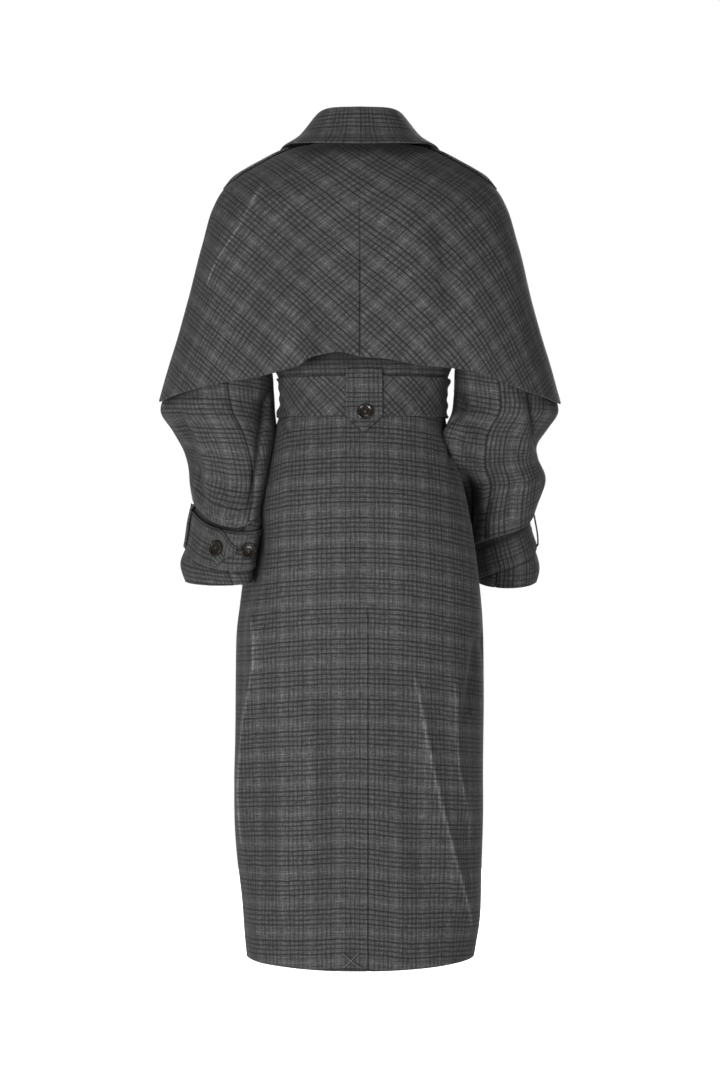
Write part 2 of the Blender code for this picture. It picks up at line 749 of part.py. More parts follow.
def make_sleeve(side, table, mirrored):
    surface = sleeve(table)
    upper = []
    under = []
    rows = steps(0.0, 1.0, STEPS["sleeve_cap"]) + steps(1.0, 2.0, STEPS["sleeve_arm"])[1:]
    for row in rows:
        z = surface(math.pi / 2, row).z
        seam = math.radians(read_table(SLEEVE_SEAM_TABLE, SLEEVE_SEAM_COLUMNS, "angle", z))
        front = FRONT_SLEEVE_SEAM
        back_gap = half_gap(surface, seam, row)
        front_gap = half_gap(surface, front, row)
        turns = steps(front + front_gap, seam - back_gap, STEPS["sleeve_upper"])
        upper.append([(turn, row) for turn in turns])
        turns = steps(seam + back_gap, front + 2 * math.pi - front_gap, STEPS["sleeve_under"])
        under.append([(turn, row) for turn in turns])
    add_panel(f"sleeve_{side}_upper", surface, upper, flat_layer(0.0), CLOTH, 1, mirrored)
    add_panel(f"sleeve_{side}_under", surface, under, flat_layer(0.0), CLOTH, 1, mirrored)


def strap_height(turn, start):
    """How far the strap stands off the cuff: its free end lies over its own beginning."""
    lap_start = start + 2 * math.pi
    rise = (STRAP_THICK + LAYER_GAP) * ease(turn, lap_start - STRAP_RAMP, lap_start - LAP_END)
    return STRAP_GAP + STRAP_THICK + rise


def strap_row(height):
    """The sleeve row at which a height lies."""
    return 1 + (height - SLEEVE_OVAL_Z) / (SLEEVE_HEM_Z - SLEEVE_OVAL_Z)


def strap_middle(line, turn):
    return read_table(line, STRAP_COLUMNS, "z", math.degrees(turn) % 360)


def make_cuff_strap(side, table, mirrored, start, line):
    surface = sleeve(table)
    places = []
    for share in steps(0.0, 1.0, STEPS["strap_round"]):
        turn = start + share * STRAP_TURN
        half = STRAP_HALF_WIDTH * (1 - STRAP_POINT_CUT * ease(share, 1 - STRAP_POINT, 1.0))
        middle = strap_middle(line, turn)
        heights = steps(middle + half, middle - half, STEPS["strap_across"])
        places.append([(turn, strap_row(z)) for z in heights])

    def lift(turn, run):
        return strap_height(turn, start)

    add_panel(f"cuff_strap_{side}", surface, places, lift, STRAP_THICK, 1, mirrored)


def make_epaulettes():
    for name, mirrored in (("epaulette_left", False), ("epaulette_right", True)):
        places = []
        for share in steps(0.0, 1.0, STEPS["epaulette"]):
            row = EPAULETTE_TOP_Z + share * (EPAULETTE_LOW_Z - EPAULETTE_TOP_Z)
            cut = EPAULETTE_POINT_CUT * ease(share, 1 - EPAULETTE_POINT, 1.0)
            half = EPAULETTE_HALF_WIDTH * (1 - cut)
            square = read_table(CAPE_TABLE, CAPE_COLUMNS, "square", row)
            back = read_table(CAPE_TABLE, CAPE_COLUMNS, "back", row)
            front = read_table(CAPE_TABLE, CAPE_COLUMNS, "front", row)
            low = math.asin((half / back) ** (square / 2))
            high = math.asin((half / front) ** (square / 2))
            turns = (-low, -low / 3, high / 3, high)
            places.append([(math.pi / 2 + turn, row) for turn in turns])
        height = LAYER_GAP + DOUBLED_CLOTH
        add_panel(name, cape, places, flat_layer(height), DOUBLED_CLOTH, mirrored=mirrored)


def belt_height(turn, z):
    """The belt's free end lies over its own beginning at the front."""
    lap_start = 2 * math.pi - BELT_LAP_ANGLE
    rise = (BELT_THICK + LAYER_GAP) * ease(-turn, lap_start - BELT_RAMP, lap_start - LAP_END)
    return LAYER_GAP + BELT_THICK + rise


def make_belt():
    places = []
    middle = (BELT_TOP_Z + BELT_LOW_Z) / 2
    half = (BELT_TOP_Z - BELT_LOW_Z) / 2
    for share in steps(0.0, 1.0, STEPS["belt"]):
        turn = BELT_LAP_ANGLE * (1 - 2 * share)
        width = half * (1 - BELT_POINT_CUT * ease(share, 1 - BELT_POINT, 1.0))
        places.append([(turn, z) for z in (middle - width, WAIST_SEAM_Z, middle + width)])
    add_panel("belt", torso, places, belt_height, BELT_THICK)


def make_belt_tab():
    places = []
    for z in TAB_TABLE[:, 0]:
        half = read_table(TAB_TABLE, TAB_COLUMNS, "half_width", z)
        stops = steps(TAB_X - half, TAB_X + half, STEPS["tab"])
        places.append([(torso_angle(z, x, True), z) for x in stops])

    def lift(turn, z):
        return read_table(TAB_TABLE, TAB_COLUMNS, "lift", z) + DOUBLED_CLOTH

    add_panel("belt_tab", torso, places, lift, DOUBLED_CLOTH)


def add_button(name, place, facing):
    """A turned button with a raised rim and a dished middle, square to the cloth under it."""
    builder = bmesh.new()
    places = [(r * BUTTON_RADIUS, 0, h * BUTTON_THICK) for r, h in BUTTON_PROFILE]
    points = [builder.verts.new(place) for place in places]
    edges = [builder.edges.new(pair) for pair in zip(points, points[1:])]
    bmesh.ops.spin(
        builder,
        geom=points + edges,
        cent=(0, 0, 0),
        axis=(0, 0, 1),
        angle=2 * math.pi,
        steps=BUTTON_SIDES,
    )
    bmesh.ops.remove_doubles(builder, verts=builder.verts, dist=0.00001)
    piece = add_object(name, builder, BUTTON_COLOUR, BUTTON_ROUGHNESS)
    turn = facing.to_track_quat("Z", "Y").to_matrix().to_4x4()
    piece.matrix_world = Matrix.Translation(place + facing * SEAM_GAP) @ turn
    return piece


def surface_button(name, surface, turn, run, out, facing=1, mirrored=False):
    place = moved_out(surface, turn, run, out, facing)
    normal = normal_at(surface, turn, run, facing)
    if mirrored:
        place.x = -place.x
        normal.x = -normal.x
    return add_button(name, place, normal)


def make_buttons():
    turn = torso_angle(TAB_BUTTON_Z, TAB_BUTTON_X, True)
    height = read_table(TAB_TABLE, TAB_COLUMNS, "lift", TAB_BUTTON_Z) + DOUBLED_CLOTH
    surface_button("button_belt_tab", torso, turn, TAB_BUTTON_Z, height + BUTTON_CLEAR)
    middle = (BELT_TOP_Z + BELT_LOW_Z) / 2
    height = belt_height(-BELT_BUTTON_ANGLE, middle) + BELT_BUTTON_CLEAR
    surface_button("button_belt_end", torso, -BELT_BUTTON_ANGLE, middle, height)
    for side, table, mirrored, start, line in CUFFS:
        surface = sleeve(table)
        for name, offset in (("lap", CUFF_LAP_BUTTON + 2 * math.pi), ("band", CUFF_BAND_BUTTON)):
            turn = start + offset - STRAP_START
            run = strap_row(strap_middle(line, turn))
            height = strap_height(turn, start) + BUTTON_CLEAR
            surface_button(f"button_cuff_{side}_{name}", surface, turn, run, height, 1, mirrored)


def main():
    for old in list(bpy.data.objects):
        bpy.data.objects.remove(old)
    make_bodice_back()
    make_bodice_fronts()
    make_skirt_backs()
    make_skirt_fronts()
    make_cape()
    make_collar()
    make_lapels()
    make_sleeve("left", LEFT_SLEEVE_TABLE, False)
    make_sleeve("right", RIGHT_SLEEVE_TABLE, True)
    for side, table, mirrored, start, line in CUFFS:
        make_cuff_strap(side, table, mirrored, start, line)
    make_epaulettes()
    make_belt()
    make_belt_tab()
    make_buttons()


main()
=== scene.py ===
import math

import bpy
import numpy as np
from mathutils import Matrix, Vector


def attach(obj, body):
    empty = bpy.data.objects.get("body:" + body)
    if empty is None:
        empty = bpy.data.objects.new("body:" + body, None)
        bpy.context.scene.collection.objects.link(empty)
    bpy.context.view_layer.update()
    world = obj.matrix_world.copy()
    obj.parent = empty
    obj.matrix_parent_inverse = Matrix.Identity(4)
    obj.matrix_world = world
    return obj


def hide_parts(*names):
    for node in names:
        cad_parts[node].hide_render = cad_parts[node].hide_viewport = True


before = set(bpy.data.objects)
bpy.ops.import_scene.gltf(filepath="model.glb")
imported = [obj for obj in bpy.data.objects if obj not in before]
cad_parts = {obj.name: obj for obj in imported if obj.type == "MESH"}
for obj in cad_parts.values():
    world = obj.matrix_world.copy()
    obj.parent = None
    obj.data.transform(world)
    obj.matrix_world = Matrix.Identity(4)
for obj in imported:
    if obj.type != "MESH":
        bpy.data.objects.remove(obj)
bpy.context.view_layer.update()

# Lengths are in millimetres until a mesh is made, and angles in degrees.
# +Z is up, the wearer faces -Y, and the back of the coat faces the camera at +Y.
mm = 0.001


def smooth(value, low, high):
    t = np.clip((value - low) / (high - low), 0, 1)
    return t * t * (3 - 2 * t)


def band(at, height, place, width):  # a soft rise, or a fall if the height is negative
    return height * np.exp(-(((at - place) / width) ** 2))


def hermite(t, start, end, leave, arrive):  # a smooth line between two places, with its slope at each
    first = start * (2 * t**3 - 3 * t**2 + 1) + leave * (t**3 - 2 * t**2 + t)
    return first + end * (3 * t**2 - 2 * t**3) + arrive * (t**3 - t**2)


def curve(rows, column, at):  # one column of a table, on a smooth line through its rows
    table = np.array(rows, float)
    table = table[np.argsort(table[:, 0])]
    keys = table[:, 0]
    values = table[:, column]
    slopes = np.gradient(values, keys)
    at = np.clip(at, keys[0], keys[-1])
    k = np.clip(np.searchsorted(keys, at) - 1, 0, len(keys) - 2)
    span = keys[k + 1] - keys[k]
    return hermite((at - keys[k]) / span, values[k], values[k + 1], span * slopes[k], span * slopes[k + 1])


def addObject(name, data):
    thing = bpy.data.objects.new(name, data)
    bpy.context.scene.collection.objects.link(thing)
    return thing


def meshObject(name, verts, faces, edges=()):
    mesh = bpy.data.meshes.new(name)
    mesh.from_pydata(verts, edges, faces)
    return addObject(name, mesh)


# Camera: level, behind the coat, far enough for the photo's flat view.
camera = {"distance": 4200, "height": -558, "lens": 97.9, "sensor": 36}
cameraData = bpy.data.cameras.new("camera")
cameraData.lens = camera["lens"]
cameraData.sensor_width = camera["sensor"]
cameraObject = addObject("camera", cameraData)
cameraObject.location = (0, camera["distance"] * mm, camera["height"] * mm)
cameraObject.rotation_euler = (math.pi / 2, 0, math.pi)
bpy.context.scene.camera = cameraObject


def seen(points):  # where a point appears, in millimetres on the upright plane through the origin
    scale = camera["distance"] / (camera["distance"] - points[..., 1])
    x = points[..., 0] * scale
    z = camera["height"] + (points[..., 2] - camera["height"]) * scale
    return x, z


# Stage: pale floor, white surround, a large soft light from each side of the camera and one above.
stage = {
    "floorZ": -1420,
    "floorSize": 7000,
    "floorColour": (0.86, 0.86, 0.86, 1),
    "floorGlow": 0.82,
    "surround": 1.0,
    "bounce": 0.41,
    "overhead": 0.05,
    "lights": (
        ("leftLight", (2100, 3300, -1300), (1400, 1400), 225),
        ("rightLight", (-2100, 3200, -1300), (1700, 1400), 71),
        ("topLight", (300, 2600, 2300), (1100, 700), 16),
        ("frontLight", (-600, -3400, 500), (2600, 2600), 120),
    ),
    "aim": (0, 0, -1250),
}


def addNode(tree, kind, values=None, **settings):
    node = tree.nodes.new(kind)
    for key, value in settings.items():
        setattr(node, key, value)
    for key, value in (values or {}).items():
        if isinstance(value, bpy.types.NodeSocket):
            tree.links.new(value, node.inputs[key])
        else:
            node.inputs[key].default_value = value
    return node


def mathNode(tree, operation, a, b=0.0):
    return addNode(tree, "ShaderNodeMath", {0: a, 1: b}, operation=operation).outputs[0]


def scaled(tree, vector, by):
    return addNode(tree, "ShaderNodeVectorMath", {0: vector, "Scale": by}, operation="SCALE").outputs[0]


def mapped(tree, value, source, target):
    limits = {"From Min": source[0], "From Max": source[1], "To Min": target[0], "To Max": target[1]}
    return addNode(tree, "ShaderNodeMapRange", {"Value": value, **limits}).outputs[0]


def mixed(tree, share, first, second, blend="MIX"):
    node = addNode(tree, "ShaderNodeMix", {0: share, 6: first, 7: second}, data_type="RGBA", blend_type=blend)
    return node.outputs[2]


def newMaterial(name):
    material = bpy.data.materials.new(name)
    material.use_nodes = True
    return material, material.node_tree, material.node_tree.nodes["Principled BSDF"]


def makeStage():
    world = bpy.data.worlds.new("surround")
    world.use_nodes = True
    tree = world.node_tree
    tree.nodes.clear()
    seenLight = addNode(tree, "ShaderNodeBackground", {"Color": (1, 1, 1, 1), "Strength": stage["surround"]})
    # less light comes from overhead than from the sides
    ray = addNode(tree, "ShaderNodeSeparateXYZ", {0: addNode(tree, "ShaderNodeTexCoord").outputs["Generated"]})
    level = mapped(tree, ray.outputs["Z"], (-0.1, 0.7), (stage["bounce"], stage["overhead"]))
    cast = addNode(tree, "ShaderNodeBackground", {"Color": (1, 1, 1, 1), "Strength": level})
    direct = addNode(tree, "ShaderNodeLightPath").outputs["Is Camera Ray"]
    both = addNode(tree, "ShaderNodeMixShader", {0: direct, 1: cast.outputs[0], 2: seenLight.outputs[0]})
    addNode(tree, "ShaderNodeOutputWorld", {"Surface": both.outputs[0]})
    bpy.context.scene.world = world
    bpy.context.scene.view_settings.view_transform = "Standard"
    half = stage["floorSize"] / 2 * mm
    corners = [(-half, -half), (half, -half), (half, half), (-half, half)]
    floor = meshObject("floor", [(x, y, stage["floorZ"] * mm) for x, y in corners], [(0, 1, 2, 3)])
    material, tree, shader = newMaterial("paleFloor")
    shader.inputs["Base Color"].default_value = stage["floorColour"]
    shader.inputs["Roughness"].default_value = 0.9
    shader.inputs["Specular IOR Level"].default_value = 0.0
    # far from the lights the floor stays as pale as the surround
    shader.inputs["Emission Color"].default_value = (1, 1, 1, 1)
    direct = addNode(tree, "ShaderNodeLightPath").outputs["Is Camera Ray"]
    tree.links.new(mathNode(tree, "MULTIPLY", direct, stage["floorGlow"]), shader.inputs["Emission Strength"])
    floor.data.materials.append(material)
    for name, place, size, watts in stage["lights"]:
        data = bpy.data.lights.new(name, "AREA")
        data.shape = "RECTANGLE"
        data.size = size[0] * mm
        data.size_y = size[1] * mm
        data.energy = watts
        light = addObject(name, data)
        light.location = Vector(place) * mm
        aim = Vector(stage["aim"]) - Vector(place)
        light.rotation_euler = aim.to_track_quat("-Z", "Y").to_euler()
    print("stage made")


# Suiting: groups of four dark threads each way, a pale thread between the groups, heathered ground.
# Lines are (place across the repeat, half width, brightness), measured from the repeat's middle.
suiting = {
    "weftRepeat": 42.0,
    "weftLines": (
        (-15.4, 0.5, 0.47), (-9.9, 0.8, 0.19), (-3.3, 0.8, 0.25), (3.3, 0.8, 0.22), (9.9, 0.8, 0.17), (15.4, 0.5, 0.47),
    ),
    "weftPale": (0.5, 0.84),
    "warpRepeat": 40.0,
    "warpLines": (
        (-14.8, 0.5, 0.50), (-9.6, 0.8, 0.32), (-3.2, 0.8, 0.37), (3.2, 0.8, 0.35), (9.6, 0.8, 0.31), (14.8, 0.5, 0.50),
    ),
    "warpPale": (0.5, 0.80),
    "ground": 0.62,
    "softEdge": 0.9,
    "warm": (0.146, 0.143, 0.138, 1),
    "cool": (0.134, 0.138, 0.144, 1),
    "wander": 0.0034,
    "fleckScales": ((560, 60, 1), (70, 500, 1), (520, 480, 1)),
    "fleck": (0.30, 1.72),
    "nap": (0.70, 0.86),
    "sheen": 0.08,
    "hollow": 0.045,
    "hollowDark": 0.22,
}


def lineRamp(tree, along, repeat, lines, pale):
    step = mathNode(tree, "FRACT", mathNode(tree, "MULTIPLY", along, 1 / (repeat * mm)))
    ramp = addNode(tree, "ShaderNodeValToRGB", {"Fac": step})
    ground = suiting["ground"]
    soft = suiting["softEdge"] / repeat
    paleHalf = pale[0] / repeat
    stops = [(0.0, pale[1]), (paleHalf, pale[1]), (paleHalf + soft, ground)]
    for place, half, value in lines:
        middle = 0.5 + place / repeat
        half = half / repeat
        stops += [(middle - half - soft, ground), (middle - half, value)]
        stops += [(middle + half, value), (middle + half + soft, ground)]
    stops += [(1 - paleHalf - soft, ground), (1 - paleHalf, pale[1])]
    elements = ramp.color_ramp.elements
    while len(elements) < len(stops):
        elements.new(0.5)
    for element, (place, value) in zip(elements, stops):
        element.position = place
        element.color = (value, value, value, 1)
    return ramp.outputs["Color"]


def makeSuiting():
    material, tree, shader = newMaterial("checkSuiting")
    place = addNode(tree, "ShaderNodeUVMap", uv_map="cloth").outputs["UV"]
    # the threads wander a little
    wander = addNode(tree, "ShaderNodeTexNoise", {"Vector": place, "Scale": 42.0, "Detail": 5.0, "Roughness": 0.62})
    half = (0.5, 0.5, 0.5)
    shift = addNode(tree, "ShaderNodeVectorMath", {0: wander.outputs["Color"], 1: half}, operation="SUBTRACT")
    shift = scaled(tree, shift.outputs[0], suiting["wander"])
    moved = addNode(tree, "ShaderNodeVectorMath", {0: place, 1: shift}, operation="ADD")
    split = addNode(tree, "ShaderNodeSeparateXYZ", {0: moved.outputs[0]})
    weft = lineRamp(tree, split.outputs["Y"], suiting["weftRepeat"], suiting["weftLines"], suiting["weftPale"])
    warp = lineRamp(tree, split.outputs["X"], suiting["warpRepeat"], suiting["warpLines"], suiting["warpPale"])
    check = mixed(tree, 1.0, weft, warp, "MULTIPLY")
    # heathered threads, long one way and fine the other
    flecks = []
    for scale in suiting["fleckScales"]:
        spread = addNode(tree, "ShaderNodeMapping", {"Vector": place, "Scale": scale})
        noise = addNode(tree, "ShaderNodeTexNoise", {"Vector": spread.outputs[0], "Scale": 1.0, "Detail": 2.0})
        flecks.append(noise.outputs["Fac"])
    heather = mathNode(tree, "ADD", mathNode(tree, "ADD", flecks[0], flecks[1]), flecks[2])
    cloud = addNode(tree, "ShaderNodeTexNoise", {"Vector": place, "Scale": 26.0, "Detail": 3.0})
    tint = mixed(tree, cloud.outputs["Fac"], suiting["warm"], suiting["cool"])
    dyed = mixed(tree, 1.0, check, tint, "MULTIPLY")
    flecked = scaled(tree, dyed, mapped(tree, heather, (1.1, 1.9), suiting["fleck"]))
    # painted highlights on pressed crests, and painted shade in sharp troughs, under the cape's hem and under lips and
    # straps
    paintedLight = addNode(tree, "ShaderNodeAttribute", attribute_name="paintedLight").outputs["Fac"]
    paintedLightLevel = scaled(tree, flecked, mathNode(tree, "ADD", paintedLight, 1.0))
    # painted shade: the colour is darkened in hollows and under laps, where little light reaches the pile
    hollow = addNode(tree, "ShaderNodeAmbientOcclusion", {"Distance": suiting["hollow"]}, samples=8)
    depth = mapped(tree, hollow.outputs["AO"], (0.2, 0.85), (suiting["hollowDark"], 1.0))
    tree.links.new(scaled(tree, paintedLightLevel, depth), shader.inputs["Base Color"])
    tree.links.new(mapped(tree, heather, (1.0, 2.0), suiting["nap"]), shader.inputs["Roughness"])
    bump = addNode(tree, "ShaderNodeBump", {"Height": heather, "Strength": 0.30, "Distance": 0.0006})
    tree.links.new(bump.outputs[0], shader.inputs["Normal"])
    shader.inputs["Sheen Weight"].default_value = suiting["sheen"]
    shader.inputs["Sheen Roughness"].default_value = 0.5
    shader.inputs["Specular IOR Level"].default_value = 0.30
    return material


makeStage()
suitingMaterial = makeSuiting()
print("suiting made")


# A crease runs down a path of (z, x) places, or across on one of (x, z) places. It is a soft
# trough or ridge, or a pressed one where sharp, and it fades at both ends. A pair of widths
# gives it a steep side and a slow one.
def crease(x, z, path, width, rise, sharp=False, across=False, ends=(0.2, 0.25)):
    main, side = (x, z) if across else (z, x)
    keys = sorted(p[0] for p in path)
    low, high = keys[0], keys[-1]
    middle = curve(path, 1, main)
    ordered = sorted(path)
    lean = (ordered[-1][1] - ordered[0][1]) / (high - low)
    away = (side - middle) / math.sqrt(1 + lean * lean)
    low1, high1 = width if isinstance(width, tuple) else (width, width)
    away = away / np.where(away < 0, low1, high1)
    t = (main - low) / (high - low)
    first, last = (ends[0], ends[1]) if across else (ends[1], ends[0])
    fade = smooth(t, 0, first) * smooth(t, 1, 1 - last)
    shape = np.exp(0.3 - np.sqrt(away * away + 0.09)) if sharp else np.exp(-away * away)
    return rise * fade * shape


def ripple(a, b, size):  # slow unevenness of hanging cloth
    waves = ((37, 0.021, 0.013, 0.3), (29, -0.014, 0.027, 1.7), (53, 0.034, 0.009, 4.1), (41, 0.008, 0.041, 2.6))
    total = 0
    for weight, ka, kb, start in waves:
        total = total + weight / 160 * np.sin(ka * a + kb * b + start)
    return size * total


def gridNormals(points, facing):
    across = np.gradient(points, axis=1)
    down = np.gradient(points, axis=0)
    normal = np.cross(across, down) * facing
    return normal / np.maximum(np.linalg.norm(normal, axis=-1, keepdims=True), 1e-9)


def moveOut(points, lift, facing=1):  # along the cloth's own normals
    return points + gridNormals(points, facing) * lift[..., None]


def runLength(points, axis):  # length along the cloth from its first row or column
    step = np.linalg.norm(np.diff(points, axis=axis), axis=-1)
    start = np.zeros_like(np.take(step, [0], axis=axis))
    return np.concatenate((start, np.cumsum(step, axis=axis)), axis=axis)


def even(start, end, step):
    count = max(int(round(abs(end - start) / step)), 2)
    return np.linspace(start, end, count + 1)


def shares(width, step, fine=(0, 0.8, 1.8, 3.2, 5.0)):  # even steps, closer together at both edges
    inner = even(fine[-1], width - fine[-1], step)
    places = np.concatenate((fine[:-1], inner, width - np.array(fine[-2::-1])))
    return places / width


sheets = []
flatSizes = {}


def makeCloth(
    name, nodes, points, flat, thick, held, facing=1, mirrored=False, grain=0, shift=(0, 0), paintedLight=None, rests=()
):
    normal = gridNormals(points, facing)
    thick = np.broadcast_to(thick, points.shape[:2])[..., None]
    under = points - normal * thick
    rows, columns = points.shape[:2]
    rim = [(0, j) for j in range(columns)]
    rim += [(i, columns - 1) for i in range(1, rows)]
    rim += [(rows - 1, j) for j in range(columns - 2, -1, -1)]
    rim += [(i, 0) for i in range(rows - 2, 0, -1)]
    rimI = np.array([p[0] for p in rim])
    rimJ = np.array([p[1] for p in rim])
    insideI = np.clip(rimI, 1, rows - 2)
    insideJ = np.clip(rimJ, 1, columns - 2)
    away = points[rimI, rimJ] - points[insideI, insideJ]
    away = away / np.maximum(np.linalg.norm(away, axis=-1, keepdims=True), 1e-9)
    rolled = (points[rimI, rimJ] + under[rimI, rimJ]) / 2 + away * thick[rimI, rimJ] * 0.5
    verts = np.concatenate((points.reshape(-1, 3), under.reshape(-1, 3), rolled))
    if mirrored:
        verts = verts * np.array((-1, 1, 1))
    index = np.arange(rows * columns).reshape(rows, columns)
    top = np.stack((index[:-1, :-1], index[:-1, 1:], index[1:, 1:], index[1:, :-1]), -1).reshape(-1, 4)
    low = top[:, ::-1] + rows * columns
    loop = rimI * columns + rimJ
    after = np.roll(loop, -1)
    middle = 2 * rows * columns + np.arange(len(rim))
    middleAfter = np.roll(middle, -1)
    outerRim = np.stack((after, loop, middle, middleAfter), -1)
    innerRim = np.stack((middleAfter, middle, loop + rows * columns, after + rows * columns), -1)
    faces = np.concatenate((top, low, outerRim, innerRim))
    if (facing < 0) != mirrored:
        faces = faces[:, ::-1]
    piece = meshObject(name, (verts * mm).tolist(), faces.tolist())
    mesh = piece.data
    turn = math.radians(grain)
    placed = flat + np.array(shift)
    u = placed[..., 0] * math.cos(turn) - placed[..., 1] * math.sin(turn)
    v = placed[..., 0] * math.sin(turn) + placed[..., 1] * math.cos(turn)
    laid = np.stack((u, v), -1).reshape(-1, 2) * mm
    laid = np.concatenate((laid, laid, laid[loop]))
    corners = np.zeros(len(mesh.loops), np.int32)
    mesh.loops.foreach_get("vertex_index", corners)
    layer = mesh.uv_layers.new(name="cloth")
    layer.data.foreach_set("uv", laid[corners].astype(np.float32).ravel())
    if paintedLight is not None:
        shown = paintedLight.ravel()
        shown = np.concatenate((shown, np.zeros_like(shown), np.zeros(len(loop))))
        mesh.attributes.new("paintedLight", "FLOAT", "POINT").data.foreach_set("value", shown.astype(np.float32))
    mesh.shade_smooth()
    mesh.materials.append(suitingMaterial)
    edgeA = points[1:, :-1] - points[:-1, :-1]
    edgeB = points[:-1, 1:] - points[:-1, :-1]
    area = np.linalg.norm(np.cross(edgeA, edgeB), axis=-1).sum() * mm * mm
    width = np.ptp(flat[..., 0]) * mm
    length = np.ptp(flat[..., 1]) * mm
    flatSizes[name] = (round(width, 3), round(length, 3), round(area, 4))
    if nodes:
        sheets.append((piece, nodes, (width, length), min(area, width * length), held, rests))
    return piece


# Body rings: height, half width, depth behind, depth in front, squareness (2 is an ellipse).
torsoRows = (
    (8, 66, 60, 40, 2.0), (-3, 101, 71, 52, 1.7), (-13, 121, 79, 60, 1.6), (-25, 144, 87, 70, 1.6),
    (-36, 164, 93, 79, 1.6), (-48, 177, 99, 87, 1.7), (-90, 173, 108, 103, 1.9), (-130, 164, 112, 113, 2.1),
    (-200, 151, 111, 120, 2.2), (-260, 138, 101, 112, 2.2), (-312, 128, 93, 102, 2.2), (-323, 122.5, 89, 98, 2.2),
    (-352, 116, 86, 94, 2.2), (-380, 118.5, 89, 96, 2.2), (-420, 130.5, 100, 104, 2.2),
    (-470, 145, 112, 112, 2.2), (-520, 156, 120, 118, 2.2),
    (-570, 164, 124, 121, 2.2), (-660, 174.5, 126, 123, 2.2), (-760, 177, 126, 123, 2.2),
    (-870, 176, 125, 122, 2.2), (-1000, 173.5, 123, 120, 2.2), (-1070, 168, 121, 118, 2.2),
    (-1160, 160, 118, 115, 2.2),
)
# Largest folds of the skirt: side (1 behind), top x and z, low x and z, half width, rise.
skirtFolds = (
    (1, -82, -772, -163, -1125, 24, 6), (1, -138, -740, -146, -930, 15, 4), (1, 104, -700, 134, -1137, 24, 5),
    (1, 154, -640, 166, -1000, 14, 5), (-1, -62, -470, -104, -1120, 26, 6), (-1, 98, -480, 128, -1130, 28, 6),
)
# The left cuff and sleeve press the skirt's side in.
dents = (
    {"angle": 70, "halfAngle": 17, "depth": 13, "runIn": (-505, -565), "runOut": (-625, -700)},
    {"angle": 90, "halfAngle": 26, "depth": 6, "runIn": (-400, -490), "runOut": (-520, -590)},
)
sway = {"x": -5.2, "z": -345, "reach": 52}
body = {
    "cloth": 1.5,
    "seamGap": 0.3,
    "layerGap": 0.9,
    "neckZ": 8,
    "waistZ": -352,
    "hemZ": -1157,
    "hemSideRise": 7,
    "armholeTop": -48,
    "armholeLow": -203,
    "armholeCut": 25,
    "armholeGap": 2.4,
    "lapDepth": 3.2,
    "lapStep": 6.5,
}


def ringPoint(turn, halfWidth, back, front, square):
    s = np.sin(turn)
    c = np.cos(turn)
    depth = np.where(c > 0, back, front)
    x = halfWidth * np.sign(s) * np.abs(s) ** (2 / square)
    y = depth * np.sign(c) * np.abs(c) ** (2 / square)
    return x, y


def torso(turn, z):
    turn, z = np.broadcast_arrays(turn, z)
    x, y = ringPoint(turn, *(curve(torsoRows, k, z) for k in (1, 2, 3, 4)))
    rise = np.zeros_like(x)
    for side, xTop, zTop, xLow, zLow, width, height in skirtFolds:
        t = (z - zTop) / (zLow - zTop)
        fade = smooth(t, -0.15, 0.25) * (1 - smooth(t, 0.85, 1.25))
        rise = rise + np.where(side * y > 0, band(x, height * fade, xTop + (xLow - xTop) * t, width), 0)
    for dent in dents:
        pressed = smooth(z, *dent["runIn"]) * (1 - smooth(z, *dent["runOut"]))
        rise = rise - band(np.degrees(turn), dent["depth"] * pressed, dent["angle"], dent["halfAngle"])
    far = np.hypot(x, y)
    return np.stack((x + x / far * rise + leanX(z), y + y / far * rise, z), -1)


def leanX(z):
    return band(z, sway["x"], sway["z"], sway["reach"])


def torsoTurn(z, x, behind):  # the angle at which a ring passes a given x
    x = x - leanX(z)
    share = np.clip(np.abs(x) / curve(torsoRows, 1, z), 0, 1)
    angle = np.arcsin(share ** (curve(torsoRows, 4, z) / 2))
    return np.where(x < 0, -1, 1) * (angle if behind else math.pi - angle)


def armholeTurn(z):  # how far the armhole cuts a panel back from the side
    t = np.clip((z - body["armholeLow"]) / (body["armholeTop"] - body["armholeLow"]), 0, 1)
    return math.radians(body["armholeCut"]) * np.abs(np.sin(math.pi * t)) ** 0.6


def armholeEdge(z):
    inside = (z > body["armholeLow"]) & (z < body["armholeTop"])
    gap = np.where(inside, body["armholeGap"], body["seamGap"])
    return armholeTurn(z) + gap / curve(torsoRows, 1, z)


def seamDip(x, depth=0.9, width=2.2):  # cloth rolls in towards a seam, x away from it
    return band(x, -depth, 0, width)


# Bodice: back and two fronts that lap below a V neckline.
bodice = {
    "step": 5,
    "backWidth": 300,
    "frontWidth": 190,
    "neckTopX": 58,
    "breakZ": -235,
    "lapX": 45,
    "lapFullZ": -300,
    "stepTopZ": -205,
    "stepLowZ": -230,
    "clear": 0.6,
    "tuck": ((40, -297), (5, -293), (-26, -292), (-48, -296)),
    "tuckWidth": 4,
    "tuckRise": 3.2,
    "capeShade": 0.8,
    "shadeTop": -298,
    "shadeLow": -330,
    "shift": (3, 0),
}


def bodiceHeights(step):
    return even(body["neckZ"], body["waistZ"] + body["seamGap"] / 2, step)


